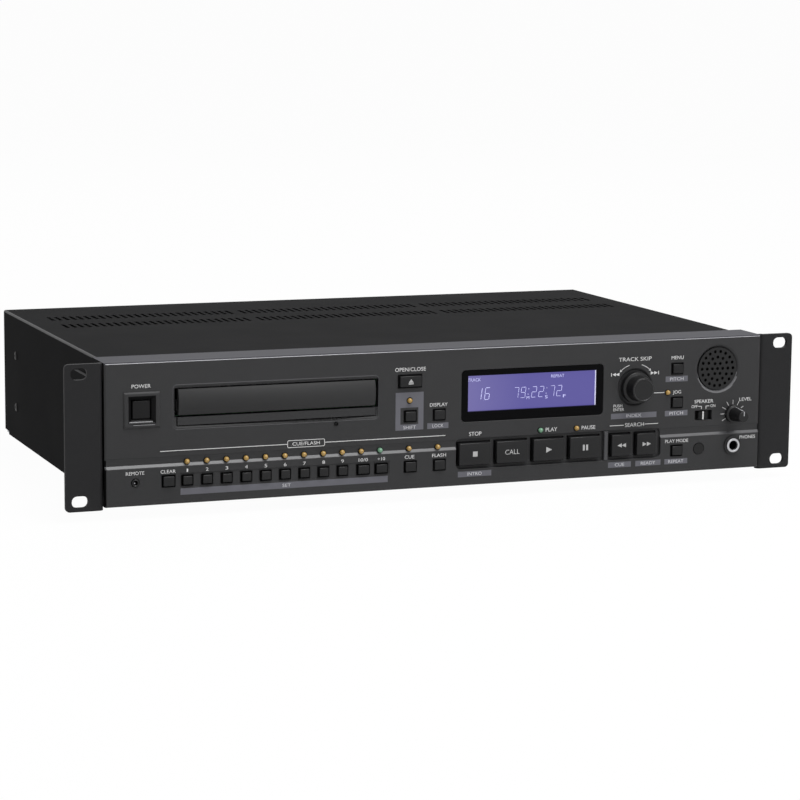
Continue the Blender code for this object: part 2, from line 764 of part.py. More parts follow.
def panel_additions():
    """The power button's frame and the bosses that carry the front board."""
    bm = bmesh.new()
    x_share, z_share = POWER_SHARES
    width, height = power_sizes()[0]
    wide = rectangle(across(x_share), rise(z_share), width, height)
    slim = rectangle(
        across(x_share), rise(z_share), width - 2 * POWER_FRAME_CHAMFER, height - 2 * POWER_FRAME_CHAMFER
    )
    front = HIGH_FACE - POWER_FRAME_PROUD
    loft(
        bm,
        [
            facing(wide, HIGH_FACE + PANEL_WALL / 2),
            facing(wide, front + POWER_FRAME_CHAMFER),
            facing(slim, front),
        ],
    )
    for x_share, z_share in BOSS_HIGH_SHARES + BOSS_LOW_SHARES:
        start = WALL_BACK - PANEL_WALL / 3
        peg(bm, across(x_share), rise(z_share), BOSS_RADIUS, start, BOARD_DEPTH - FIT)
    return bm


def panel_pockets():
    """Shallow sunk places in the panel's face."""
    bm = bmesh.new()
    ahead = LOW_FACE - OVERRUN
    left, right = across(BAY_LEFT_SHARE), across(BAY_RIGHT_SHARE)
    low, top = rise(BAY_BOTTOM_SHARE), rise(BAY_TOP_SHARE)
    bay = rounded((left + right) / 2, (low + top) / 2, right - left, top - low, BAY_RADIUS)
    slab(bm, bay, ahead, HIGH_FACE + BAY_DEPTH)

    around = KEY_GAP + STRIP_MARGIN
    strip_left = across(NUMBER_FIRST_SHARE - NUMBER_KEY_SHARES[0] / 2) - around
    strip_right = across(TEN_SHARES[1] + TEN_KEY_SHARES[0] / 2) + around
    strip_height = NUMBER_KEY_SHARES[1] * PANEL_HEIGHT + 2 * around
    middle = (strip_left + strip_right) / 2
    slab(
        bm, rectangle(middle, rise(LOW_ROW_SHARE), strip_right - strip_left, strip_height), ahead,
        LOW_FACE + STRIP_DEPTH,
    )

    bottom = TRAY_OPENING_BOTTOM - BAR_HEIGHT - BAR_SEAM
    height = TRAY_OPENING_TOP - bottom
    middle = high((TRAY_OPENING_TOP + bottom) / 2)
    width = TRAY_OPENING_WIDTH
    rims = []
    steps = ((SURROUND_MARGIN + OVERRUN, -OVERRUN), (SURROUND_MARGIN, 0.0), (0.0, SURROUND_DEPTH))
    for margin, depth in steps:
        grown = 2 * margin
        outline = rounded(TRAY_X, middle, width + grown, height + grown, SURROUND_RADIUS, 2)
        rims.append(facing(outline, HIGH_FACE + depth))
    loft(bm, rims)

    x, z = beside(JOG_SHARES[0]), rise(JOG_SHARES[1])
    dish = JOG_DISH_RADIUS - JOG_DISH_DEPTH
    floor = HIGH_FACE + JOG_DISH_DEPTH
    peg(bm, x, z, JOG_DISH_RADIUS + OVERRUN, HIGH_FACE - OVERRUN, floor, ROUND_SIDES, dish)

    x, z = beside(SPEAKER_SHARES[0]), rise(SPEAKER_SHARES[1])
    mouth = GRILLE_RADIUS + FIT + GRILLE_MOUTH
    throat = mouth - GRILLE_MOUTH - OVERRUN
    start = HIGH_FACE - OVERRUN
    peg(bm, x, z, mouth + OVERRUN, start, start + 2 * OVERRUN + GRILLE_MOUTH, ROUND_SIDES, throat)

    x, z = across(POWER_SHARES[0]), rise(POWER_SHARES[1])
    front = HIGH_FACE - POWER_FRAME_PROUD
    width, height = power_sizes()[1]
    flare = 2 * OVERRUN * POWER_MOUTH_TAPER / POWER_MOUTH_DEPTH
    taper = 2 * POWER_MOUTH_TAPER
    loft(
        bm,
        [
            facing(rectangle(x, z, width + flare, height + flare), front - OVERRUN),
            facing(rectangle(x, z, width - taper, height - taper), front + POWER_MOUTH_DEPTH),
        ],
    )
    return bm


def tray_outline():
    """The stepped opening for the tray's door and, under it, the bezel bar."""
    half = TRAY_OPENING_WIDTH / 2
    bar_half = half - BAR_STEP
    top = high(TRAY_OPENING_TOP)
    step = high(TRAY_OPENING_BOTTOM)
    low = high(TRAY_OPENING_BOTTOM - BAR_HEIGHT - BAR_SEAM)
    left, right = TRAY_X - half, TRAY_X + half
    bar_left, bar_right = TRAY_X - bar_half, TRAY_X + bar_half
    return [
        (bar_left, low), (bar_right, low), (bar_right, step), (right, step),
        (right, top), (left, top), (left, step), (bar_left, step),
    ]


def panel_openings():
    """Everything that goes right through the panel's wall."""
    bm = bmesh.new()
    front, back = LOW_FACE - OVERRUN, WALL_BACK + OVERRUN
    for key in [*small_keys().values(), *transport_keys().values(), power_key()]:
        block(bm, key.x, key.z, key.width + 2 * key.gap, key.height + 2 * key.gap, front, back)
    for x, z in lamp_places():
        peg(bm, x, z, LAMP_RADIUS + LAMP_GAP, front, back)
    slab(bm, tray_outline(), front, back)
    x, z = beside(WINDOW_SHARES[0]), rise(WINDOW_SHARES[1])
    slab(bm, rounded(x, z, WINDOW_WIDTH + 2 * FIT, WINDOW_HEIGHT + 2 * FIT, WINDOW_RADIUS), front, back)
    width, height = SLIDER_OPENING_WIDTH, SLIDER_OPENING_HEIGHT
    block(bm, beside(SLIDER_SHARES[0]), rise(SLIDER_SHARES[1]), width, height, front, back)
    holes = (
        (beside, JOG_SHARES, JOG_HOLE_RADIUS),
        (beside, LEVEL_SHARES, LEVEL_HOLE_RADIUS),
        (beside, SPEAKER_SHARES, GRILLE_RADIUS + FIT),
        (across, PHONES_SHARES, PHONES_RING_RADIUS + FIT),
        (across, REMOTE_SHARES, REMOTE_RADIUS + FIT),
        (across, INFRARED_SHARES, INFRARED_RADIUS + FIT),
    )
    for along, (x_share, z_share), radius in holes:
        peg(bm, along(x_share), rise(z_share), radius, front, back, ROUND_SIDES)
    return bm


def make_front_panel():
    """The moulded panel with its ledge, bay, frame and openings."""
    panel = piece("front_panel", panel_body(), panel_finish())
    cut(panel, panel_cavity())
    join(panel, panel_additions())
    cut(panel, panel_pockets())
    cut(panel, panel_openings())
    pin = bmesh.new()
    x = TRAY_X + EJECT_HOLE_SHARE * TRAY_OPENING_WIDTH
    z = high(TRAY_OPENING_BOTTOM - BAR_HEIGHT - BAR_SEAM)
    peg(pin, x, z, EJECT_HOLE_RADIUS, LOW_FACE - OVERRUN, WALL_BACK + OVERRUN)
    cut(panel, pin)


def make_tray_bezel():
    """The bar under the tray's door, on a flat frame behind the panel's wall."""
    bm = bmesh.new()
    half = TRAY_OPENING_WIDTH / 2
    low = TRAY_OPENING_BOTTOM - BAR_HEIGHT - BAR_SEAM
    outer_height = TRAY_OPENING_TOP - low + 2 * BEZEL_LIP
    middle = high((TRAY_OPENING_TOP + low) / 2)
    block(bm, TRAY_X, middle, 2 * (half + BEZEL_LIP), outer_height, FLANGE_FRONT, FLANGE_FRONT + BEZEL_BACK)
    bezel = piece("tray_bezel", bm, panel_finish())
    hole = bmesh.new()
    clear = high((TRAY_OPENING_TOP + TRAY_OPENING_BOTTOM) / 2)
    height = TRAY_OPENING_TOP - TRAY_OPENING_BOTTOM
    block(hole, TRAY_X, clear, 2 * half, height, WALL_BACK - OVERRUN, FLANGE_FRONT + BEZEL_BACK + OVERRUN)
    cut(bezel, hole)
    bar = bmesh.new()
    width = TRAY_OPENING_WIDTH - 2 * (BAR_STEP + BAR_SEAM)
    z = high(TRAY_OPENING_BOTTOM - BAR_HEIGHT / 2)
    block(bar, TRAY_X, z, width, BAR_HEIGHT, HIGH_FACE, FLANGE_FRONT + BEZEL_BACK / 2)
    join(bezel, bar)


def make_rack_ear(name, side):
    """A bent bracket: slotted plate in front, flange along the case."""
    inner = PANEL_WIDTH / 2 + FIT
    outer = RACK_WIDTH / 2
    bend = inner + EAR_THICKNESS + EAR_BEND_RADIUS
    curve = EAR_THICKNESS + EAR_BEND_RADIUS
    outside = arc((bend, curve), curve, 180, 270, 5)
    inside = arc((bend, curve), EAR_BEND_RADIUS, 270, 180, 3)
    line = [(inner, EAR_FLANGE_DEPTH)] + outside + [(outer, 0.0), (outer, EAR_THICKNESS)]
    line += inside + [(inner + EAR_THICKNESS, EAR_FLANGE_DEPTH)]
    bm = bmesh.new()
    loft(bm, [[(side * x, deep(y), high(z)) for x, y in line] for z in (0.0, EAR_HEIGHT)])
    corners = [
        edge
        for edge in bm.edges
        if all(abs(abs(vertex.co.x) - outer) < FIT for vertex in edge.verts)
        and abs(edge.verts[0].co.z - edge.verts[1].co.z) < FIT
    ]
    bmesh.ops.bevel(
        bm, geom=corners, offset=EAR_CORNER_RADIUS, segments=4, affect="EDGES", profile=0.5
    )
    ear = piece(name, bm, sheet_finish())

    away = bmesh.new()
    slot_x = side * (outer - RACK_SLOT_INSET)
    for height in (RACK_SLOT_MARGIN, EAR_HEIGHT - RACK_SLOT_MARGIN):
        bend = RACK_SLOT_HEIGHT / 2 - FIT
        slot = rounded(slot_x, high(height), RACK_SLOT_LENGTH, RACK_SLOT_HEIGHT, bend)
        slab(away, slot, -OVERRUN, EAR_THICKNESS + OVERRUN)
    middle = side * (inner + EAR_THICKNESS / 2)
    start = curve + EAR_BEND_RADIUS
    for edge, far in ((EAR_FLANGE_MARGIN, -OVERRUN), (EAR_HEIGHT - EAR_FLANGE_MARGIN, EAR_HEIGHT + OVERRUN)):
        z, height = high((edge + far) / 2), abs(edge - far)
        block(away, middle, z, EAR_THICKNESS + OVERRUN, height, start, EAR_FLANGE_DEPTH + OVERRUN)
    cut(ear, away)

    pads = bmesh.new()
    near, far = side * (CASE_WIDTH / 2 + FIT), side * (inner + EAR_THICKNESS / 2)
    pad_depth = (PANEL_REAR + EAR_FLANGE_DEPTH) / 2
    for share in EAR_PAD_SHARES:
        z = high(share * EAR_HEIGHT)
        rod(pads, (near, deep(pad_depth), z), (far, deep(pad_depth), z), EAR_PAD_RADIUS)
    join(ear, pads)


def make_keys():
    """All the keys, each in the opening that its sizes give."""
    for name, key in {**small_keys(), **transport_keys()}.items():
        make_key(name, key, cap_finish())
    make_key("power_button", power_key(), cap_finish())


def make_display():
    """The dark window and, behind it, the display module."""
    x, z = beside(WINDOW_SHARES[0]), rise(WINDOW_SHARES[1])
    outline = rounded(x, z, WINDOW_WIDTH, WINDOW_HEIGHT, WINDOW_RADIUS)
    grown = 2 * (FIT + WINDOW_LIP)
    wide = rounded(x, z, WINDOW_WIDTH + grown, WINDOW_HEIGHT + grown, WINDOW_RADIUS)
    bm = bmesh.new()
    loft(
        bm,
        [
            facing(wide, FLANGE_BACK),
            facing(wide, FLANGE_FRONT),
            facing(outline, FLANGE_FRONT),
            facing(outline, HIGH_FACE + WINDOW_SUNK),
        ],
    )
    piece("display_window", bm, lens_finish())
    bm = bmesh.new()
    width, height = WINDOW_WIDTH - 2 * MODULE_MARGIN, WINDOW_HEIGHT - 2 * MODULE_MARGIN
    block(bm, x, z, width, height, FLANGE_BACK + FIT, BOARD_DEPTH - FIT)
    piece("display_module", bm, finish("display_blue", (0.16, 0.13, 0.42), 0.3))


def board_body():
    """The front board with its cut-outs for the tray, the speaker and the headphone jack."""
    inner = PANEL_WIDTH / 2 - PANEL_RIM - BOARD_MARGIN
    low = PANEL_LIFT + PANEL_RIM + BOARD_MARGIN
    top = EAR_HEIGHT - PANEL_RIM - BOARD_MARGIN
    bm = bmesh.new()
    back = BOARD_DEPTH + BOARD_THICKNESS
    box(bm, (-inner, deep(BOARD_DEPTH), high(low)), (inner, deep(back), high(top)))
    return bm


def board_cutouts():
    """Cut-outs of the front board."""
    bm = bmesh.new()
    front, back = BOARD_DEPTH - OVERRUN, BOARD_DEPTH + BOARD_THICKNESS + OVERRUN
    half = TRAY_OPENING_WIDTH / 2
    low = high(TRAY_OPENING_BOTTOM)
    box(bm, (TRAY_X - half, deep(front), low), (TRAY_X + half, deep(back), high(EAR_HEIGHT)))
    x, z = beside(SPEAKER_SHARES[0]), rise(SPEAKER_SHARES[1])
    peg(bm, x, z, GRILLE_RADIUS + GRILLE_SEAT + FIT, front, back, ROUND_SIDES)
    corner = across(PHONES_SHARES[0]) - PHONES_BODY / 2 - FIT
    top = rise(PHONES_SHARES[1]) + PHONES_BODY / 2 + FIT
    box(bm, (corner, deep(front), high(0.0)), (PANEL_WIDTH / 2, deep(back), top))
    return bm


def board_parts():
    """Switches, lamps, encoder and level control soldered to the front board."""
    bm = bmesh.new()
    seat = BOARD_DEPTH + SOLDER
    for key in [*small_keys().values(), *transport_keys().values(), power_key()]:
        block(bm, key.x, key.z, SWITCH_SIZE, SWITCH_SIZE, FLANGE_BACK + key.travel + FIT, seat)
    for x, z in lamp_places():
        face = LOW_FACE if z < rise(LEDGE_SHARE) else HIGH_FACE
        peg(bm, x, z, LAMP_RADIUS, face - LAMP_PROUD, seat)
    x, z = beside(JOG_SHARES[0]), rise(JOG_SHARES[1])
    block(bm, x, z, ENCODER_SIZE, ENCODER_SIZE, BOARD_DEPTH - BODY_DEPTH, seat)
    x, z = beside(LEVEL_SHARES[0]), rise(LEVEL_SHARES[1])
    block(bm, x, z, POT_SIZE, POT_SIZE, BOARD_DEPTH - BODY_DEPTH, seat)
    x, z = beside(SLIDER_SHARES[0]), rise(SLIDER_SHARES[1])
    width, height = SLIDER_OPENING_WIDTH, SLIDER_OPENING_HEIGHT
    block(bm, x, z, width, height, FLANGE_BACK + FIT, seat)
    x, z = across(INFRARED_SHARES[0]), rise(INFRARED_SHARES[1])
    block(bm, x, z, 2 * INFRARED_RADIUS, 2 * INFRARED_RADIUS, FLANGE_BACK + FIT, seat)
    return bm


def board_bores():
    """Bores that take the knobs' shafts."""
    bm = bmesh.new()
    front, back = BOARD_DEPTH - BODY_DEPTH - OVERRUN, BOARD_DEPTH - SOLDER
    plunger = JOG_SHAFT_RADIUS + FIT + PLUNGER_WALL
    peg(bm, beside(JOG_SHARES[0]), rise(JOG_SHARES[1]), plunger + FIT, front, back)
    peg(bm, beside(LEVEL_SHARES[0]), rise(LEVEL_SHARES[1]), LEVEL_SHAFT_RADIUS + FIT, front, back)
    return bm


def make_front_board():
    """The board behind the panel."""
    board = piece("front_board", board_body(), board_finish())
    cut(board, board_cutouts())
    join(board, board_parts())
    cut(board, board_bores())


def make_jog():
    """The endless knob and the plunger that it pushes in."""
    x, z = beside(JOG_SHARES[0]), rise(JOG_SHARES[1])
    floor = HIGH_FACE + JOG_DISH_DEPTH
    outer = JOG_SHAFT_RADIUS + FIT + PLUNGER_WALL
    start = floor - FIT
    end = BOARD_DEPTH - SOLDER - JOG_TRAVEL - FIT
    bm = bmesh.new()
    inner = outer - PLUNGER_WALL
    ring = [(outer, start), (outer, end), (inner, end), (inner, start), (outer, start)]
    turned(bm, ring, (x, deep(0.0), z), (0, 1, 0), SMALL_SIDES)
    piece("jog_plunger", bm, moulding_finish(), (x, deep(start), z), smooth=True)

    back = start - FIT
    front = HIGH_FACE - JOG_LENGTH
    grip = back - JOG_LENGTH / 3
    profile = [
        (0.0, front),
        (JOG_FRONT_RADIUS - JOG_EDGE, front),
        (JOG_FRONT_RADIUS, front + JOG_EDGE),
        ((JOG_FRONT_RADIUS + JOG_RADIUS) / 2, (front + grip) / 2),
        (JOG_RADIUS - JOG_EDGE, grip),
        (JOG_RADIUS, grip + JOG_EDGE),
        (JOG_RADIUS, back - JOG_TRAVEL),
        (JOG_RADIUS - JOG_EDGE, back - JOG_TRAVEL),
        (outer + FIT, back - JOG_TRAVEL),
        (outer + FIT, back),
        (JOG_SHAFT_RADIUS, back),
        (JOG_SHAFT_RADIUS, end - FIT),
        (0.0, end - FIT),
    ]
    bm = bmesh.new()
    turned(bm, profile, (x, deep(0.0), z), (0, 1, 0))
    piece("jog_knob", bm, cap_finish(), (x, deep(back), z), smooth=True)


def make_level_knob():
    """The small tapered knob with its shaft."""
    x, z = beside(LEVEL_SHARES[0]), rise(LEVEL_SHARES[1])
    back = HIGH_FACE - FIT
    front = HIGH_FACE - LEVEL_LENGTH
    profile = [
        (0.0, front),
        (LEVEL_FRONT_RADIUS - PANEL_EDGE, front),
        (LEVEL_FRONT_RADIUS, front + PANEL_EDGE),
        ((LEVEL_FRONT_RADIUS + LEVEL_RADIUS) / 2, back - LEVEL_SKIRT),
        (LEVEL_RADIUS, back - LEVEL_SKIRT / 2),
        (LEVEL_RADIUS, back),
        (LEVEL_SHAFT_RADIUS, back),
        (LEVEL_SHAFT_RADIUS, BOARD_DEPTH - SOLDER - FIT),
        (0.0, BOARD_DEPTH - SOLDER - FIT),
    ]
    bm = bmesh.new()
    turned(bm, profile, (x, deep(0.0), z), (0, 1, 0))
    piece("level_knob", bm, cap_finish(), (x, deep(back), z), smooth=True)


def make_speaker():
    """The drilled grille and the small speaker behind it."""
    x, z = beside(SPEAKER_SHARES[0]), rise(SPEAKER_SHARES[1])
    seat = GRILLE_RADIUS + GRILLE_SEAT
    front = HIGH_FACE + GRILLE_SUNK
    bm = bmesh.new()
    profile = [
        (0.0, front),
        (GRILLE_RADIUS, front),
        (GRILLE_RADIUS, FLANGE_FRONT),
        (seat, FLANGE_FRONT),
        (seat, FLANGE_BACK),
        (GRILLE_RADIUS - GRILLE_THICKNESS, FLANGE_BACK),
        (GRILLE_RADIUS - GRILLE_THICKNESS, front + GRILLE_THICKNESS),
        (0.0, front + GRILLE_THICKNESS),
    ]
    turned(bm, profile, (x, deep(0.0), z), (0, 1, 0))
    grille = piece("speaker_grille", bm, cap_finish())
    holes = bmesh.new()
    pitch, radius = GRILLE_PITCH_SHARE * GRILLE_RADIUS, GRILLE_HOLE_SHARE * GRILLE_RADIUS
    for ring in range(GRILLE_RINGS + 1):
        count = max(1, 6 * ring)
        for step in range(count):
            turn = math.tau * step / count
            place_x = x + ring * pitch * math.cos(turn)
            place_z = z + ring * pitch * math.sin(turn)
            peg(holes, place_x, place_z, radius, front - OVERRUN, front + OVERRUN, HOLE_SIDES)
    cut(grille, holes)

    bm = bmesh.new()
    start = FLANGE_BACK + FIT
    end = start + SPEAKER_DEPTH
    magnet = MAGNET_SHARE * seat
    profile = [
        (0.0, start + GRILLE_THICKNESS * 2),
        (magnet, start + GRILLE_THICKNESS),
        (seat - GRILLE_THICKNESS, start),
        (seat, start),
        (seat, start + GRILLE_THICKNESS),
        (magnet + GRILLE_THICKNESS, (start + end) / 2),
        (magnet, (start + end) / 2),
        (magnet, end),
        (0.0, end),
    ]
    turned(bm, profile, (x, deep(0.0), z), (0, 1, 0))
    piece("speaker_driver", bm, finish("speaker_cone", (0.05, 0.05, 0.05), 0.8), smooth=True)


def make_speaker_switch():
    """The slide switch's lever with the plate that covers its opening."""
    width = SLIDER_OPENING_WIDTH
    x = beside(SLIDER_SHARES[0]) - width / 2 + SLIDER_REST + SLIDER_CAP_WIDTH / 2
    z = rise(SLIDER_SHARES[1])
    plate_width = 2 * width - SLIDER_CAP_WIDTH
    plate = rectangle(x, z, plate_width, SLIDER_OPENING_HEIGHT + 2 * SLIDER_PLATE_LIP)
    cap = rectangle(x, z, SLIDER_CAP_WIDTH, SLIDER_CAP_HEIGHT)
    bm = bmesh.new()
    loft(
        bm,
        [
            facing(plate, FLANGE_BACK),
            facing(plate, FLANGE_FRONT),
            facing(cap, FLANGE_FRONT),
            facing(cap, HIGH_FACE - SLIDER_PROUD),
        ],
    )
    piece("speaker_switch", bm, cap_finish(), (x, deep(HIGH_FACE), z))


def make_phones_jack():
    """The headphone jack: nut and bright ring in front, body behind the panel."""
    x, z = across(PHONES_SHARES[0]), rise(PHONES_SHARES[1])
    bm = bmesh.new()
    front = LOW_FACE - FIT
    profile = [
        (0.0, front - PHONES_NUT - PHONES_RING_PROUD),
        (PHONES_RING_RADIUS, front - PHONES_NUT - PHONES_RING_PROUD),
        (PHONES_RING_RADIUS, front - PHONES_NUT),
        (PHONES_NUT_RADIUS, front - PHONES_NUT),
        (PHONES_NUT_RADIUS, front),
        (PHONES_RING_RADIUS, front),
        (PHONES_RING_RADIUS, FLANGE_BACK),
        (0.0, FLANGE_BACK),
    ]
    turned(bm, profile, (x, deep(0.0), z), (0, 1, 0), JACK_SIDES)
    jack = piece("phones_jack", bm, moulding_finish())
    body = bmesh.new()
    block(body, x, z, PHONES_BODY, PHONES_BODY, FLANGE_FRONT, FLANGE_FRONT + PHONES_BODY_DEPTH)
    join(jack, body)
    bore = bmesh.new()
    back = FLANGE_FRONT + PHONES_BODY_DEPTH - SHEET
    peg(bore, x, z, PHONES_BORE_RADIUS, front - PHONES_NUT - OVERRUN, back, BORE_SIDES)
    cut(jack, bore)


def make_remote_jack():
    """The small wired-remote jack."""
    x, z = across(REMOTE_SHARES[0]), rise(REMOTE_SHARES[1])
    bm = bmesh.new()
    block(bm, x, z, REMOTE_BODY, REMOTE_BODY, FLANGE_FRONT, BOARD_DEPTH - FIT)
    jack = piece("remote_jack", bm, moulding_finish())
    nose = bmesh.new()
    peg(nose, x, z, REMOTE_RADIUS, LOW_FACE - FIT, FLANGE_BACK, BORE_SIDES)
    join(jack, nose)
    bore = bmesh.new()
    peg(bore, x, z, REMOTE_BORE_RADIUS, LOW_FACE - OVERRUN, BOARD_DEPTH - FIT - SHEET)
    cut(jack, bore)


def make_infrared_window():
    """The round dark window of the remote-control receiver."""
    x, z = across(INFRARED_SHARES[0]), rise(INFRARED_SHARES[1])
    bm = bmesh.new()
    wide = INFRARED_RADIUS + FIT + KEY_LIP
    profile = [
        (0.0, LOW_FACE),
        (INFRARED_RADIUS, LOW_FACE),
        (INFRARED_RADIUS, FLANGE_FRONT),
        (wide, FLANGE_FRONT),
        (wide, FLANGE_BACK),
        (0.0, FLANGE_BACK),
    ]
    turned(bm, profile, (x, deep(0.0), z), (0, 1, 0), JACK_SIDES)
    piece("infrared_window", bm, lens_finish(), smooth=True)


def disc_depth():
    """Place along Y of the middle of the disc."""
    return deep(DISC_DEPTH)


def make_disc_tray():
    """The sliding tray: two stepped disc recesses, the slot for the drive and the toothed rack."""
    y = disc_depth()
    half = TRAY_WIDTH / 2
    bm = bmesh.new()
    low = (TRAY_X - half, deep(TRAY_FRONT), high(TRAY_UNDERSIDE))
    box(bm, low, (TRAY_X + half, deep(TRAY_REAR), high(TRAY_RIM)))
    tray = piece("disc_tray", bm, moulding_finish(), (TRAY_X, deep(TRAY_FRONT), high(TRAY_UNDERSIDE)))

    floor = high(TRAY_UNDERSIDE + TRAY_FLOOR)
    top = high(TRAY_RIM + OVERRUN)
    recess = bmesh.new()
    rod(recess, (TRAY_X, y, floor), (TRAY_X, y, top), DISC_RADIUS + DISC_ROOM, DISC_SIDES)
    cut(tray, recess)
    inner = bmesh.new()
    rod(inner, (TRAY_X, y, floor - SMALL_RECESS), (TRAY_X, y, top), SMALL_DISC_RADIUS, WELL_SIDES)
    cut(tray, inner)

    slot = bmesh.new()
    bend = TRAY_SLOT / 2
    line = arc((TRAY_X, y), bend, 180, 360, 12)
    back = deep(TRAY_REAR + OVERRUN)
    line += [(TRAY_X + bend, back), (TRAY_X - bend, back)]
    loft(slot, [[(px, py, pz) for px, py in line] for pz in (high(TRAY_UNDERSIDE - OVERRUN), top)])
    cut(tray, slot)

    teeth = bmesh.new()
    outline = rack_outline()
    thickness = (high(TRAY_UNDERSIDE - GEAR_THICKNESS), high(TRAY_UNDERSIDE) + TRAY_FLOOR / 4)
    loft(teeth, [[(px, py, pz) for px, py in outline] for pz in thickness])
    join(tray, teeth)


def tooth_halves():
    """Half widths of a tooth at its root and at its tip."""
    pitch = math.pi * GEAR_MODULE
    middle = pitch / 4 - GEAR_BACKLASH / 2
    root = middle + TOOTH_ROOT_SHARE * GEAR_MODULE * TOOTH_SLOPE
    return min(root, pitch / 2 - FIT), middle - TOOTH_TIP_SHARE * GEAR_MODULE * TOOTH_SLOPE


def rack_outline():
    """The rack's outline seen from above, its teeth pointing to the middle of the tray."""
    pitch = math.pi * GEAR_MODULE
    root_half, tip_half = tooth_halves()
    line = TRAY_X + RACK_LINE
    root = line + TOOTH_ROOT_SHARE * GEAR_MODULE
    tip = line - TOOTH_TIP_SHARE * GEAR_MODULE
    gear_y = deep(GEAR_DEPTH)
    first = gear_y + (math.ceil((TRAY_FRONT + RACK_THICKNESS * 3 - GEAR_DEPTH) / pitch) + 0.5) * pitch
    count = int((deep(TRAY_REAR) - RACK_THICKNESS - first) / pitch)
    points = []
    for tooth in range(count):
        y = first + tooth * pitch
        points += [(root, y - root_half), (tip, y - tip_half), (tip, y + tip_half), (root, y + root_half)]
    back = line + RACK_THICKNESS
    start, end = first - pitch / 2, first + (count - 0.5) * pitch
    return [(root, start)] + points + [(root, end), (back, end), (back, start)]


def gear_outline():
    """The loader gear's outline about its own axis, a tooth pointing at the rack's gap."""
    root_half, tip_half = tooth_halves()
    root = GEAR_RADIUS - TOOTH_ROOT_SHARE * GEAR_MODULE
    tip = GEAR_RADIUS + TOOTH_TIP_SHARE * GEAR_MODULE
    points = []
    for tooth in range(GEAR_TEETH):
        turn = math.tau * tooth / GEAR_TEETH
        for radius, shift in ((root, -root_half), (tip, -tip_half), (tip, tip_half), (root, root_half)):
            angle = turn + shift / radius
            points.append((radius * math.cos(angle), radius * math.sin(angle)))
    return points


def gear_centre():
    """Place of the loader gear's axis, its pitch circle touching the rack's pitch line."""
    return TRAY_X + RACK_LINE - GEAR_RADIUS, deep(GEAR_DEPTH)


def make_loader_gear():
    """The gear that drives the tray's rack."""
    x, y = gear_centre()
    top = high(TRAY_UNDERSIDE) - FIT
    low = top - GEAR_THICKNESS
    bm = bmesh.new()
    loft(bm, [[(x + px, y + py, z) for px, py in gear_outline()] for z in (low, top)])
    gear = piece("loader_gear", bm, finish("gear_white", (0.7, 0.7, 0.66), 0.5), (x, y, low))
    bore = bmesh.new()
    rod(bore, (x, y, low - OVERRUN), (x, y, top + OVERRUN), GEAR_BORE_RADIUS + FIT)
    cut(gear, bore)


def make_tray_door():
    """The bowed lid on the tray's front."""
    radius = (DOOR_HEIGHT**2 / 4 + DOOR_BULGE**2) / (2 * DOOR_BULGE)
    half = math.asin(DOOR_HEIGHT / 2 / radius)
    line = []
    for step in range(DOOR_STEPS + 1):
        turn = half * (2 * step / DOOR_STEPS - 1)
        depth = HIGH_FACE - DOOR_BULGE + radius * (1 - math.cos(turn))
        line.append((depth, (DOOR_TOP + DOOR_BOTTOM) / 2 + radius * math.sin(turn)))
    back = HIGH_FACE + DOOR_THICKNESS
    line += [(back, DOOR_TOP), (back, DOOR_BOTTOM)]
    bm = bmesh.new()
    ends = (TRAY_X - DOOR_WIDTH / 2, TRAY_X + DOOR_WIDTH / 2)
    loft(bm, [[(x, deep(y), high(z)) for y, z in line] for x in ends])
    piece("tray_door", bm, panel_finish(), (TRAY_X, deep(HIGH_FACE), high(DOOR_BOTTOM)))


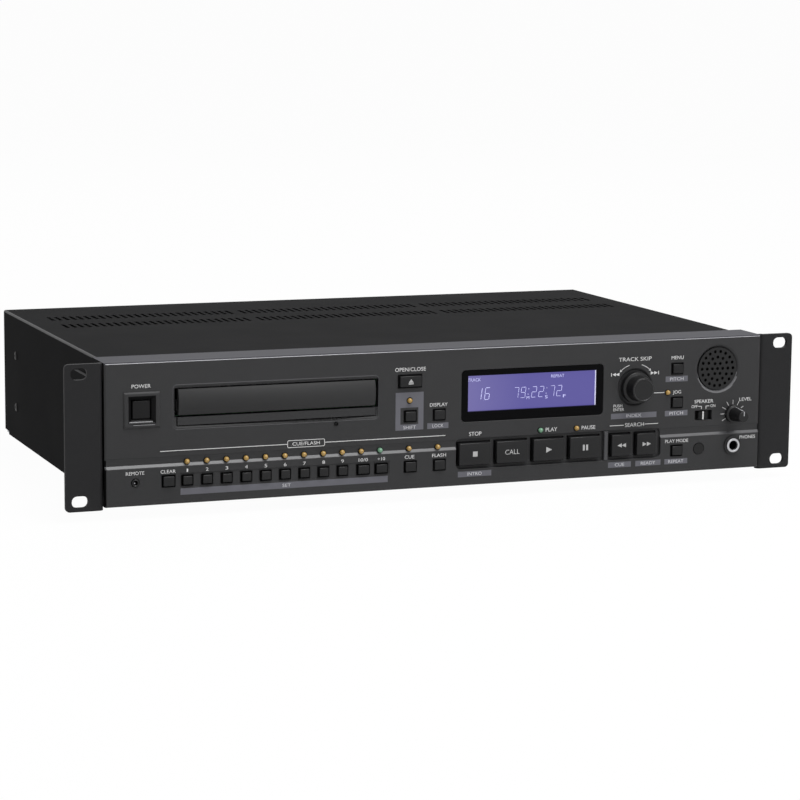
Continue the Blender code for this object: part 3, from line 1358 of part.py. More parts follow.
def make_loader_frame():
    """The drive's frame: side walls with rails, deck, clamp bridge, motor can and guide rods."""
    y = disc_depth()
    front, back = deep(LOADER_START), deep(LOADER_END)
    inner = LOADER_HALF
    outer = inner + LOADER_WALL
    deck = high(DECK_TOP)
    top = high(LOADER_TOP)
    low = high(FLOOR_TOP) + FIT
    bm = bmesh.new()
    box(bm, (TRAY_X - outer, front, low), (TRAY_X + outer, back, top))
    frame = piece("loader_frame", bm, zinc_finish())

    hollow = bmesh.new()
    under = deck - LOADER_WALL
    box(hollow, (TRAY_X - inner, front - OVERRUN, deck), (TRAY_X + inner, back + OVERRUN, top + OVERRUN))
    box(hollow, (TRAY_X - inner, front - OVERRUN, low - OVERRUN), (TRAY_X + inner, back + OVERRUN, under))
    cut(frame, hollow)

    inside = bmesh.new()
    rail_top = high(TRAY_UNDERSIDE) - FIT
    for side in (-1, 1):
        x = TRAY_X + side * (inner - LOADER_RAIL / 2 + FIT)
        wide = LOADER_RAIL / 2 + FIT
        box(inside, (x - wide, front, rail_top - LOADER_RAIL_HEIGHT), (x + wide, back, rail_top))
    bridge = top - BRIDGE_THICKNESS
    reach = inner + LOADER_WALL / 2
    box(
        inside, (TRAY_X - reach, y - BRIDGE_WIDTH / 2, bridge),
        (TRAY_X + reach, y + BRIDGE_WIDTH / 2, top),
    )
    sunk = deck - LOADER_WALL / 2
    can = high(HUB_BOTTOM) - MOTOR_GAP
    rod(inside, (TRAY_X, y, sunk), (TRAY_X, y, can), MOTOR_RADIUS, JACK_SIDES)
    gear_x, gear_y = gear_centre()
    post = high(TRAY_UNDERSIDE) - FIT
    rod(inside, (gear_x, gear_y, sunk), (gear_x, gear_y, post), GEAR_BORE_RADIUS)
    shoulder = post - GEAR_THICKNESS - FIT
    rod_back = y + PICKUP_NEAR + PICKUP_TRAVEL + PICKUP_LENGTH / 2 + FIT
    rod_front = y + MOTOR_RADIUS + MOTOR_GAP
    for ends in ((rod_front - ROD_BLOCK, rod_front), (rod_back, rod_back + ROD_BLOCK)):
        for side in (-1, 1):
            x = TRAY_X + side * ROD_SPREAD
            half = ROD_BLOCK / 2
            box(inside, (x - half, ends[0], sunk), (x + half, ends[1], high(ROD_HEIGHT) + ROD_RADIUS * 2))
    join(frame, inside)

    rods = bmesh.new()
    for side in (-1, 1):
        x = TRAY_X + side * ROD_SPREAD
        half = ROD_BLOCK / 2
        start = (x, rod_front - half, high(ROD_HEIGHT))
        rod(rods, start, (x, rod_back + half, high(ROD_HEIGHT)), ROD_RADIUS)
    collar = GEAR_BORE_RADIUS * 2
    rod(rods, (gear_x, gear_y, sunk), (gear_x, gear_y, shoulder), collar)
    join(frame, rods)

    holes = bmesh.new()
    rod(holes, (TRAY_X, y, bridge - OVERRUN), (TRAY_X, y, top + OVERRUN), CLAMP_RADIUS + FIT, ROUND_SIDES)
    rod(holes, (TRAY_X, y, deck + LOADER_WALL), (TRAY_X, y, can + OVERRUN), SPINDLE_RADIUS + FIT)
    cut(frame, holes)


def make_turntable():
    """The disc platter on its spindle."""
    y = disc_depth()
    top = high(HUB_TOP)
    low = high(HUB_BOTTOM)
    end = high(DECK_TOP) + LOADER_WALL + FIT
    profile = [
        (0.0, top + HUB_NOSE),
        (HUB_NOSE_RADIUS - HUB_NOSE, top + HUB_NOSE),
        (HUB_NOSE_RADIUS, top),
        (HUB_RADIUS, top),
        (HUB_RADIUS, low),
        (SPINDLE_RADIUS, low),
        (SPINDLE_RADIUS, end),
        (0.0, end),
    ]
    bm = bmesh.new()
    turned(bm, profile, (TRAY_X, y, 0.0), (0, 0, 1))
    piece("turntable", bm, moulding_finish(), (TRAY_X, y, low), smooth=True)


def make_disc_clamp():
    """The puck that presses the disc down, hung by its flange in the bridge."""
    y = disc_depth()
    bridge_top = high(LOADER_TOP)
    low = high(HUB_TOP) + HUB_NOSE + CLAMP_CLEAR
    flange = bridge_top + FIT
    wide = CLAMP_RADIUS + CLAMP_SEAT
    profile = [
        (0.0, low),
        (CLAMP_RADIUS, low),
        (CLAMP_RADIUS, flange),
        (wide, flange),
        (wide, flange + SHEET),
        (0.0, flange + SHEET),
    ]
    bm = bmesh.new()
    turned(bm, profile, (TRAY_X, y, 0.0), (0, 0, 1))
    piece("disc_clamp", bm, moulding_finish(), (TRAY_X, y, low), smooth=True)


def make_optical_pickup():
    """The laser sled with its lens, on the two guide rods."""
    y = disc_depth() + PICKUP_NEAR
    top = high(PICKUP_TOP)
    half = PICKUP_LENGTH / 2
    bm = bmesh.new()
    low = (TRAY_X - PICKUP_WIDTH / 2, y - half + HUB_NOSE, top - PICKUP_HEIGHT)
    box(bm, low, (TRAY_X + PICKUP_WIDTH / 2, y + half, top))
    sled = piece("optical_pickup", bm, moulding_finish(), (TRAY_X, y, high(ROD_HEIGHT)))
    bores = bmesh.new()
    for side in (-1, 1):
        x = TRAY_X + side * ROD_SPREAD
        start = (x, y - half - OVERRUN, high(ROD_HEIGHT))
        rod(bores, start, (x, y + half + OVERRUN, high(ROD_HEIGHT)), ROD_RADIUS + FIT)
    cut(sled, bores)
    lens = bmesh.new()
    lens_top = high(HUB_TOP) - HUB_NOSE
    slim = LENS_RADIUS - HUB_NOSE
    rod(lens, (TRAY_X, y, top - SHEET), (TRAY_X, y, lens_top), LENS_RADIUS, BORE_SIDES, slim)
    join(sled, lens)


def standoff_places(share, size):
    """Corners of an inner board that standoffs carry."""
    x = across(share)
    width, length = size
    rear = deep(BOARD_REAR)
    inset = BOARD_HOLE_INSET
    return [
        (x + side * (width / 2 - inset), y)
        for side in (-1, 1)
        for y in (rear - inset, rear - length + inset)
    ]


def make_chassis_base():
    """The folded tray of sheet steel: floor, side flanges, front wall and standoffs."""
    half = INNER_WIDTH / 2
    front, back = deep(CASE_FRONT), deep(CASE_REAR - SHEET - FIT)
    low = high(CHASSIS_LIFT)
    flange = low + CHASSIS_FLANGE
    inside = half - SHEET
    line = [(-half, low), (half, low), (half, flange), (inside, flange)]
    line += [(inside, low + SHEET), (-inside, low + SHEET), (-inside, flange), (-half, flange)]
    bm = bmesh.new()
    loft(bm, [[(x, y, z) for x, z in line] for y in (front, back)])
    base = piece("chassis_base", bm, zinc_finish())

    wall = bmesh.new()
    top = high(COVER_TOP - SHEET - FIT)
    box(wall, (-half, front, low), (half, front + SHEET, top))
    join(base, wall)

    posts = bmesh.new()
    places = standoff_places(MAIN_BOARD_SHARE, MAIN_BOARD_SIZE)
    places += standoff_places(SUPPLY_BOARD_SHARE, SUPPLY_BOARD_SIZE)
    for x, y in places:
        rod(posts, (x, y, low + SHEET / 2), (x, y, high(FLOOR_TOP + STANDOFF)), STANDOFF_RADIUS)
    join(base, posts)

    holes = bmesh.new()
    x = TRAY_OPENING_WIDTH / 2
    box(
        holes, (TRAY_X - x, front - OVERRUN, high(TRAY_OPENING_BOTTOM)),
        (TRAY_X + x, front + OVERRUN, high(TRAY_OPENING_TOP)),
    )
    cut(base, holes)


def make_top_cover():
    """The folded cover with its two rows of vent slots."""
    half = CASE_WIDTH / 2
    front, back = deep(CASE_FRONT), deep(CASE_REAR)
    low, top = high(CHASSIS_LIFT), high(COVER_TOP)
    line = [(-half, low), (-half, top), (half, top), (half, low), (half - SHEET, low)]
    line += [(half - SHEET, top - SHEET), (SHEET - half, top - SHEET), (SHEET - half, low)]
    bm = bmesh.new()
    loft(bm, [[(x, y, z) for x, z in line] for y in (front, back)])
    folds = [
        edge
        for edge in bm.edges
        if all(abs(vertex.co.z - top) < FIT and abs(abs(vertex.co.x) - half) < FIT for vertex in edge.verts)
        and abs(edge.verts[0].co.x - edge.verts[1].co.x) < FIT
    ]
    bmesh.ops.bevel(bm, geom=folds, offset=SHEET, segments=3, affect="EDGES", profile=0.5)
    cover = piece("top_cover", bm, sheet_finish())
    slots = bmesh.new()
    for share in VENT_GROUP_SHARES:
        for row_share in VENT_ROW_SHARES:
            row = CASE_FRONT + row_share * COVER_LENGTH
            for place in range(VENT_COUNT):
                x = across(share) + (place - (VENT_COUNT - 1) / 2) * VENT_PITCH
                low_corner = (x - VENT_WIDTH / 2, deep(row - VENT_LENGTH / 2), top - SHEET - OVERRUN)
                box(slots, low_corner, (x + VENT_WIDTH / 2, deep(row + VENT_LENGTH / 2), top + OVERRUN))
    for side in (-1, 1):
        x = side * (half - SHEET / 2)
        box(
            slots, (x - SHEET, back - NOTCH_LENGTH, low - OVERRUN),
            (x + SHEET, back + OVERRUN, low + NOTCH_HEIGHT),
        )
    cut(cover, slots)


def make_feet():
    """Four round rubber feet."""
    rear = CASE_REAR - FOOT_REAR_INSET
    spread = across(FOOT_SPREAD_SHARE)
    corners = {
        "foot_front_left": (-spread, FOOT_FRONT_DEPTH),
        "foot_front_right": (spread, FOOT_FRONT_DEPTH),
        "foot_rear_left": (-spread, rear),
        "foot_rear_right": (spread, rear),
    }
    top = high(CHASSIS_LIFT) - FIT
    profile = [
        (0.0, top),
        (FOOT_RADIUS, top),
        (FOOT_RADIUS, (top + FOOT_HOLLOW) / 2),
        (FOOT_TOE_RADIUS, 0.0),
        (FOOT_HOLLOW_RADIUS, 0.0),
        (FOOT_HOLLOW_RADIUS, FOOT_HOLLOW),
        (0.0, FOOT_HOLLOW),
    ]
    for name, (x, depth) in corners.items():
        bm = bmesh.new()
        turned(bm, profile, (x, deep(depth), 0.0), (0, 0, 1), JACK_SIDES)
        piece(name, bm, rubber_finish(), (x, deep(depth), 0.0), smooth=True)


def make_inner_board(name, share, size, fill):
    """A board on standoffs at the rear of the case, with its parts."""
    x = across(share)
    width, length = size
    rear = deep(BOARD_REAR)
    low = high(FLOOR_TOP + STANDOFF) + FIT
    top = low + INNER_BOARD
    bm = bmesh.new()
    box(bm, (x - width / 2, rear - length, low), (x + width / 2, rear, top))
    board = piece(name, bm, board_finish())
    parts = bmesh.new()

    def place(shares):
        return x + shares[0] * width, rear - length / 2 + shares[1] * length

    fill(parts, place, top)
    join(board, parts)


def stand(bm, x, y, size, top):
    """A box-shaped part that stands on an inner board."""
    width, length, height = size
    low = (x - width / 2, y - length / 2, top - SOLDER)
    box(bm, low, (x + width / 2, y + length / 2, top + height))


def main_board_parts(bm, place, top):
    """Chips and small capacitors."""
    for shares in CHIP_SHARES:
        px, py = place(shares)
        stand(bm, px, py, CHIP_SIZE, top)
    for shares in CAPACITOR_SHARES:
        px, py = place(shares)
        rod(bm, (px, py, top - SOLDER), (px, py, top + CAPACITOR_HEIGHT), CAPACITOR_RADIUS)


def supply_board_parts(bm, place, top):
    """Transformer, heat sink and main capacitor."""
    length = SUPPLY_BOARD_SIZE[1]
    transformer = (TRANSFORMER_WIDTH, TRANSFORMER_LENGTH_SHARE * length, TRANSFORMER_HEIGHT)
    sink = (SINK_WIDTH, SINK_LENGTH_SHARE * length, SINK_HEIGHT)
    for size, shares in ((transformer, TRANSFORMER_SHARES), (sink, SINK_SHARES)):
        px, py = place(shares)
        stand(bm, px, py, size, top)
    px, py = place(BULK_SHARES)
    rod(bm, (px, py, top - SOLDER), (px, py, top + BULK_HEIGHT), BULK_RADIUS)


def back_rod(bm, x, z, radius, start, end, sides=SMALL_SIDES):
    """A round bar along Y, its ends counted out from the rear panel's outer face."""
    rear = deep(CASE_REAR)
    rod(bm, (x, rear + start, z), (x, rear + end, z), radius, sides)


def make_rear_panel():
    """The rear sheet with its output and control sockets."""
    half = INNER_WIDTH / 2
    rear = deep(CASE_REAR)
    low, top = high(CHASSIS_LIFT), high(COVER_TOP - SHEET - FIT)
    bm = bmesh.new()
    box(bm, (-half, rear - SHEET, low), (half, rear, top))
    panel = piece("rear_panel", bm, sheet_finish())
    height = COVER_TOP - CHASSIS_LIFT
    middle = high(CHASSIS_LIFT + SOCKET_HEIGHT_SHARE * height)

    sockets = bmesh.new()
    for share in XLR_SHARES:
        back_rod(sockets, across(share), middle, XLR_RADIUS, -XLR_DEPTH, XLR_PROUD, JACK_SIDES)
    for share in PHONO_SHARES:
        for row in PHONO_ROW_SHARES:
            z = high(CHASSIS_LIFT + row * height)
            back_rod(sockets, across(share), z, PHONO_RADIUS, -SHEET / 2, PHONO_PROUD)
    for share in CONTROL_SHARES:
        width, tall = CONTROL_WIDTH, CONTROL_HEIGHT
        x = across(share)
        foot = width / 2 - CONTROL_TAPER
        outer = [
            (x - width / 2, middle + tall / 2), (x + width / 2, middle + tall / 2),
            (x + foot, middle - tall / 2), (x - foot, middle - tall / 2),
        ]
        ends = (rear - SHEET / 2, rear + CONTROL_PROUD)
        loft(sockets, [[(px, py, pz) for px, pz in outer] for py in ends])
    join(panel, sockets)

    bores = bmesh.new()
    for share in XLR_SHARES:
        start, end = SHEET - XLR_DEPTH, XLR_PROUD + OVERRUN
        back_rod(bores, across(share), middle, XLR_CAVITY_RADIUS, start, end, BORE_SIDES)
    for share in PHONO_SHARES:
        for row in PHONO_ROW_SHARES:
            z = high(CHASSIS_LIFT + row * height)
            back_rod(bores, across(share), z, PHONO_BORE_RADIUS, SHEET, PHONO_PROUD + OVERRUN, HOLE_SIDES)
    width, tall = INLET_WIDTH, INLET_HEIGHT
    x = across(INLET_SHARE)
    box(
        bores, (x - width / 2 - FIT, rear - SHEET - OVERRUN, middle - tall / 2 - FIT),
        (x + width / 2 + FIT, rear + OVERRUN, middle + tall / 2 + FIT),
    )
    cut(panel, bores)


def inlet_outline(x, z, width, height, corner):
    """The mains inlet's outline: a rectangle with its two upper corners cut off."""
    left, right = x - width / 2, x + width / 2
    low, top = z - height / 2, z + height / 2
    return [
        (left, low), (right, low), (right, top - corner), (right - corner, top), (left + corner, top),
        (left, top - corner),
    ]


def make_ac_inlet():
    """The mains inlet: flange outside, hollow body through the rear panel."""
    rear = deep(CASE_REAR)
    height = COVER_TOP - CHASSIS_LIFT
    z = high(CHASSIS_LIFT + SOCKET_HEIGHT_SHARE * height)
    x = across(INLET_SHARE)
    width, tall = INLET_WIDTH, INLET_HEIGHT
    flange = rectangle(x, z, width + 2 * INLET_LIP, tall + 2 * INLET_LIP)
    body = rectangle(x, z, width, tall)
    bm = bmesh.new()
    stations = (
        (flange, rear + FIT + INLET_FLANGE),
        (flange, rear + FIT),
        (body, rear + FIT),
        (body, rear + FIT - INLET_DEPTH),
    )
    loft(bm, [[(px, y, pz) for px, pz in line] for line, y in stations])
    inlet = piece("ac_inlet", bm, moulding_finish())
    hollow = bmesh.new()
    inner = inlet_outline(x, z, width - 2 * INLET_WALL, tall - 2 * INLET_WALL, INLET_CHAMFER)
    ends = (rear + OVERRUN + INLET_FLANGE, rear - INLET_DEPTH + 2 * INLET_WALL)
    loft(hollow, [[(px, y, pz) for px, pz in inner] for y in ends])
    cut(inlet, hollow)


def main():
    """Clears the scene and builds every piece."""
    for old in list(bpy.data.objects):
        bpy.data.objects.remove(old, do_unlink=True)
    make_chassis_base()
    make_top_cover()
    make_rear_panel()
    make_ac_inlet()
    make_feet()
    make_front_panel()
    make_rack_ear("rack_ear_left", -1)
    make_rack_ear("rack_ear_right", 1)
    make_tray_bezel()
    make_keys()
    make_display()
    make_front_board()
    make_jog()
    make_level_knob()
    make_speaker()
    make_speaker_switch()
    make_phones_jack()
    make_remote_jack()
    make_infrared_window()
    make_disc_tray()
    make_tray_door()
    make_loader_gear()
    make_loader_frame()
    make_turntable()
    make_disc_clamp()
    make_optical_pickup()
    make_inner_board("main_board", MAIN_BOARD_SHARE, MAIN_BOARD_SIZE, main_board_parts)
    make_inner_board("power_supply", SUPPLY_BOARD_SHARE, SUPPLY_BOARD_SIZE, supply_board_parts)


main()
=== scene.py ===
"""Looks of a rack CD player, two units high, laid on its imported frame.

Metres, +Z up, and the front faces -Y. What is printed on the front is placed in
millimetres: across from the middle, and up from the rack ears' lower edges.
"""
import json
import logging
import math
from dataclasses import dataclass
from enum import Enum
from typing import Iterable, Sequence

import bmesh
import bpy
from mathutils import Matrix, Vector


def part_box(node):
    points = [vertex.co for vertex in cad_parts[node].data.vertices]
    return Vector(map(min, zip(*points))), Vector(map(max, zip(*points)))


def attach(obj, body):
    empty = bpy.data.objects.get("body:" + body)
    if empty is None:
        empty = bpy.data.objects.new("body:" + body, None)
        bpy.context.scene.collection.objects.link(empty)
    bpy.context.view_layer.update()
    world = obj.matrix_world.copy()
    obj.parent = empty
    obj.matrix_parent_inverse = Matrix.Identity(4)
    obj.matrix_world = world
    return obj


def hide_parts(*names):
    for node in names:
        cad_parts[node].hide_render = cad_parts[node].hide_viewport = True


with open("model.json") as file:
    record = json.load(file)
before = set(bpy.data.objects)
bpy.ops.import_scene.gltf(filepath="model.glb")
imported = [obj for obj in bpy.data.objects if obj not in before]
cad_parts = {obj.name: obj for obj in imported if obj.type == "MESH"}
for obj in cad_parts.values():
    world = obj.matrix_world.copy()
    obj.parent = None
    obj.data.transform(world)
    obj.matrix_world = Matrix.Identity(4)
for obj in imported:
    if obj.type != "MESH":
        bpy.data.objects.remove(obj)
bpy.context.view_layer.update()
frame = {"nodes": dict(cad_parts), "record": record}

LOG = logging.getLogger("cd_player")
MM = 0.001
FLAT_AREA = 0.00003
FLAT_TURN = math.radians(0.5)
BROAD_GRAIN = 22.0
BAR_EASE = 0.18
SAME_SPOT = 1e-7
NEAR_SPOT = 1e-6
INK = 0.00004
FOOT_DROP = 0.0065
EAR_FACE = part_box("rack_ear_left")[0].y
LOW_FACE = EAR_FACE - 0.0023
HIGH_FACE = EAR_FACE - 0.0013
FLANGE_FACE = EAR_FACE + 0.0019
LEDGE = 24.6
ROW_START = -167.4
ROW_PITCH = 12.3
FRONT = Vector((0.0, -1.0, 0.0))
BACK = Vector((0.0, 1.0, 0.0))
UP = Vector((0.0, 0.0, 1.0))
WHITE = (1.0, 1.0, 1.0, 1.0)
LARGE_KEYS = ("stop_key", "call_key", "play_key", "pause_key", "search_back_key", "search_forward_key")

BMesh = bmesh.types.BMesh
Vert = bmesh.types.BMVert
Tree = bpy.types.NodeTree
Socket = bpy.types.NodeSocket
Colour = tuple[float, float, float]
Point = tuple[float, float]
Place = Sequence[float]
Profile = Sequence[Point]
Ring = tuple[Profile, float]


def seen(red: int, green: int, blue: int) -> Colour:
    """The shader's value of a colour as a screen shows it, 0 to 255."""
    parts = [part / 255 for part in (red, green, blue)]
    return tuple(part / 12.92 if part < 0.04045 else ((part + 0.055) / 1.055) ** 2.4 for part in parts)


class Grain(Enum):
    """Small unevenness: size and depth in metres, stretch per axis, colour drift, roughness spread."""

    MOULDED = (0.0005, 0.00001, (1.0, 1.0, 1.0), 0.10, 0.06)
    STOVED = (0.0009, 0.00002, (1.0, 1.0, 1.0), 0.10, 0.05)
    POLISHED = (0.004, 0.000001, (1.0, 1.0, 1.0), 0.03, 0.03)
    ROLLED = (0.0016, 0.000006, (0.05, 1.0, 1.0), 0.06, 0.10)
    PLATED = (0.006, 0.000004, (1.0, 1.0, 1.0), 0.12, 0.12)
    RUBBERY = (0.0012, 0.00003, (1.0, 1.0, 1.0), 0.15, 0.05)
    PULP = (0.0022, 0.00006, (1.0, 1.0, 1.0), 0.25, 0.04)
    PRINTED = (0.0008, 0.000003, (1.0, 1.0, 1.0), 0.05, 0.08)


def feed(node: bpy.types.Node, feeds: dict[str | int, object]) -> None:
    """Sets inputs of a shader node.

    Args:
        node: The node.
        feeds: For each input's name or number, a value or another node's output.
    """
    for key, value in feeds.items():
        if isinstance(value, Socket):
            node.id_data.links.new(value, node.inputs[key])
        else:
            node.inputs[key].default_value = value


def grow(tree: Tree, kind: str, feeds: dict[str | int, object], **settings: object) -> bpy.types.Node:
    """Adds a shader node.

    Args:
        tree: The nodes that it joins.
        kind: Its type.
        feeds: Its inputs, as feed takes them.
        settings: Its own settings.

    Returns:
        The node.
    """
    node = tree.nodes.new(f"ShaderNode{kind}")
    for key, value in settings.items():
        setattr(node, key, value)
    feed(node, feeds)
    return node


def blended(tree: Tree, share: Socket, one: Colour, two: Colour) -> Socket:
    """Adds a blend of two colours by the second one's share, and returns its output."""
    return grow(tree, "Mix", {0: share, 6: (*one, 1.0), 7: (*two, 1.0)}, data_type="RGBA").outputs[2]


@dataclass(frozen=True)
class Coat:
    """A surface, made into a material the first time that it is asked for."""

    name: str

    def material(self) -> bpy.types.Material:
        """Finds or makes the material.

        Returns:
            The material, shared by every piece with this surface.
        """
        made = bpy.data.materials.get(self.name)
        if made is None:
            made = bpy.data.materials.new(self.name)
            made.use_nodes = True
            self.lay(made.node_tree, made.node_tree.nodes["Principled BSDF"])
        return made

    def lay(self, tree: Tree, shader: bpy.types.Node) -> None:
        """Lays the surface's nodes; each kind of surface has its own."""
        raise NotImplementedError


@dataclass(frozen=True)
class Finish(Coat):
    """A surface of one colour with its grain."""

    colour: Colour
    roughness: float
    grain: Grain = Grain.MOULDED
    metallic: float = 0.0
    specular: float = 0.35
    glow: float = 0.0

    def lay(self, tree: Tree, shader: bpy.types.Node) -> None:
        """Lays colour, gloss and bumps, broken up by two sizes of noise.

        Args:
            tree: The material's nodes.
            shader: Its surface shader.
        """
        pitch, depth, stretch, drift, spread = self.grain.value
        spot = grow(tree, "TexCoord", {}).outputs["Object"]
        spot = grow(tree, "Mapping", {"Vector": spot, "Scale": stretch}).outputs["Vector"]
        fine = grow(tree, "TexNoise", {"Vector": spot, "Scale": 1.0 / pitch, "Detail": 2.0})
        broad = grow(tree, "TexNoise", {"Vector": spot, "Scale": BROAD_GRAIN, "Detail": 4.0}).outputs[0]
        deep, pale = ([part * (1.0 + side * drift) for part in self.colour] for side in (-1.0, 1.0))
        gloss = {"Value": broad, "To Min": self.roughness - spread, "To Max": self.roughness + spread}
        bumps = {"Height": fine.outputs[0], "Strength": 0.6, "Distance": depth}
        feed(shader, {
            "Metallic": self.metallic,
            "Specular IOR Level": self.specular,
            "Base Color": blended(tree, broad, deep, pale),
            "Roughness": grow(tree, "MapRange", gloss).outputs[0],
            "Normal": grow(tree, "Bump", bumps).outputs[0],
        })
        if self.glow:
            feed(shader, {"Emission Color": (*self.colour, 1.0), "Emission Strength": self.glow})


@dataclass(frozen=True)
class BoardFinish(Coat):
    """Solder mask over copper tracks, which show as a paler pattern."""

    mask: Colour
    track: Colour
    density: float = 240.0
    edges: Point = (0.06, 0.10)
    rise: float = 0.00003

    def lay(self, tree: Tree, shader: bpy.types.Node) -> None:
        """Lays mask and tracks.

        Args:
            tree: The material's nodes.
            shader: Its surface shader.
        """
        spot = grow(tree, "TexCoord", {}).outputs["Object"]
        cells = grow(tree, "TexVoronoi", {"Vector": spot, "Scale": self.density}, feature="DISTANCE_TO_EDGE")
        near, far = self.edges
        steps = {"Value": cells.outputs[0], "From Min": near, "From Max": far}
        edge = grow(tree, "MapRange", steps).outputs[0]
        feed(shader, {
            "Roughness": 0.35,
            "Base Color": blended(tree, edge, self.track, self.mask),
            "Normal": grow(tree, "Bump", {"Height": edge, "Distance": self.rise}, invert=True).outputs[0],
        })


@dataclass(frozen=True)
class ScreenFinish(Coat):
    """A backlit screen, paler towards its left end."""

    pale: Colour
    deep: Colour
    left: float
    right: float
    fade_end: float = 0.45

    def lay(self, tree: Tree, shader: bpy.types.Node) -> None:
        """Lays the dark surface and its light.

        Args:
            tree: The material's nodes.
            shader: Its surface shader.
        """
        spot = grow(tree, "TexCoord", {}).outputs["Object"]
        across = grow(tree, "SeparateXYZ", {0: spot}).outputs["X"]
        along = grow(tree, "MapRange", {"Value": across, "From Min": self.left, "From Max": self.right})
        ramp = grow(tree, "ValToRGB", {0: along.outputs[0]})
        for stop, colour in zip(ramp.color_ramp.elements, (self.pale, self.deep)):
            stop.color = (*colour, 1.0)
        ramp.color_ramp.elements[1].position = self.fade_end
        feed(shader, {
            "Roughness": 0.3,
            "Base Color": (0.01, 0.01, 0.014, 1.0),
            "Specular IOR Level": 0.2,
            "Emission Color": ramp.outputs[0],
            "Emission Strength": 0.9,
        })


PANEL = Finish("panel_moulding", seen(47, 47, 48), 0.48, specular=0.2)
# Painted highlight: a pale colour on the panel's rounded upper edge, standing for the light that it catches.
EDGE_HIGHLIGHT_PAINT = Finish("painted_edge_highlight", seen(170, 170, 174), 0.34, specular=0.35)
# Painted highlight: a paler colour on the ledge's upward faces, standing for the light from above.
LEDGE_HIGHLIGHT_PAINT = Finish("painted_ledge_highlight", seen(72, 72, 74), 0.36, specular=0.35)
# Painted top light: the panel's top faces get a paler, duller copy of its colour, standing for how they read
# when lit from above.
TOP_LIGHT_PAINT = Finish("painted_top_light", seen(66, 66, 70), 0.65, specular=0.05)
# Painted shade: black standing for the shade in the power recess, the gaps round lamps and keys, the eject
# pinhole and under the power sill.
SHADE_PAINT = Finish("painted_shade_black", seen(10, 10, 11), 0.45, specular=0.12)
CAP = Finish("key_moulding", seen(21, 21, 22), 0.32, specular=0.26)
DOOR = Finish("door_moulding", seen(24, 24, 25), 0.58, specular=0.42)
KNOB = Finish("knob_moulding", seen(17, 17, 18), 0.40, specular=0.3)
COVER = Finish("stoved_black", seen(14, 14, 15), 0.72, Grain.STOVED, specular=0.018)
EAR = Finish("stoved_ear", seen(37, 37, 38), 0.60, Grain.STOVED, specular=0.1)
ZINC = Finish("zinc_plate", seen(170, 172, 176), 0.38, Grain.PLATED, metallic=0.95)
STEEL = Finish("rolled_steel", seen(190, 190, 192), 0.28, Grain.ROLLED, metallic=1.0)
NICKEL = Finish("nickel_ring", seen(150, 150, 153), 0.24, Grain.POLISHED, metallic=1.0)
BLACK_SCREW = Finish("black_screw", seen(8, 8, 9), 0.5, Grain.PLATED, specular=0.2)
DRIVE = Finish("drive_moulding", seen(26, 26, 27), 0.45)
NYLON = Finish("nylon_gear", seen(214, 212, 202), 0.42)
RUBBER = Finish("foot_rubber", seen(28, 28, 28), 0.85, Grain.RUBBERY, specular=0.2)
CONE = Finish("cone_paper", seen(52, 50, 48), 0.9, Grain.PULP, specular=0.1)
GLASS = Finish("dark_window", seen(9, 9, 10), 0.12, Grain.POLISHED, specular=0.3)
FRAME_BLACK = Finish("screen_frame", seen(4, 4, 5), 0.30, Grain.POLISHED, specular=0.05)
WHITE_INK = Finish("white_ink", seen(205, 205, 205), 0.55, Grain.PRINTED, specular=0.1)
SIGN_INK = Finish("sign_ink", seen(172, 172, 172), 0.55, Grain.PRINTED, specular=0.1)
PALE_INK = Finish("pale_ink", seen(192, 192, 196), 0.55, Grain.PRINTED, specular=0.1)
PLATE_INK = Finish("violet_grey_ink", seen(98, 98, 104), 0.55, Grain.PRINTED, specular=0.1)
AMBER = Finish("amber_lens", seen(160, 128, 66), 0.22, Grain.POLISHED, specular=0.6, glow=0.04)
GREEN = Finish("green_lens", seen(104, 146, 118), 0.22, Grain.POLISHED, specular=0.6, glow=0.04)
EDGE_GLOW = Finish("lit_edge", seen(225, 225, 245), 0.4, Grain.POLISHED, glow=0.6)
SEGMENT = Finish("lit_segment", seen(186, 186, 230), 0.4, Grain.POLISHED, glow=0.4)
GOLD = Finish("gold_contact", seen(212, 175, 96), 0.25, Grain.POLISHED, metallic=1.0)
RED_INSERT = Finish("red_insert", seen(150, 26, 26), 0.4)
WHITE_INSERT = Finish("white_insert", seen(214, 214, 208), 0.4)
HOLLOW = Finish("socket_dark", seen(8, 8, 8), 0.7, specular=0.1)
RING_METAL = Finish("ring_metal", seen(186, 186, 189), 0.42, Grain.POLISHED, metallic=0.9)
# Painted highlight: a pale colour on the upward-facing lower slope of the grille's dish, standing for the
# light that it catches.
DISH_HIGHLIGHT_PAINT = Finish("painted_dish_highlight", seen(100, 100, 102), 0.55, specular=0.12)
POWER_CAP = Finish("power_moulding", seen(13, 13, 14), 0.30, specular=0.2)
# Painted highlight: a pale colour on the power sill's bars, standing for the light that they catch.
SILL_HIGHLIGHT_PAINT = Finish("painted_sill_highlight", seen(128, 128, 130), 0.4, specular=0.25)
# Painted highlight: a paler black on the cover's rounded bends, standing for the light that they catch.
BEND_HIGHLIGHT_PAINT = Finish("painted_bend_highlight", seen(46, 46, 47), 0.5, Grain.STOVED, specular=0.25)
DIVIDER = Finish("divider_moulding", seen(68, 68, 70), 0.48, specular=0.2)
# Painted highlight: a paler colour on the lip round the tray's bezel, standing for the light on its edge.
LIP_HIGHLIGHT_PAINT = Finish("painted_bezel_highlight", seen(58, 58, 60), 0.45, specular=0.2)
# Painted highlight: pale rings on the jog knob's front and foot edges, standing for the light that they
# catch.
RIM_HIGHLIGHT_PAINT = Finish("painted_rim_highlight", seen(92, 92, 94), 0.3)
LENS = Finish("lens_glass", seen(60, 78, 120), 0.06, Grain.POLISHED)
BOARD = BoardFinish("solder_mask", seen(22, 78, 48), seen(56, 118, 72))


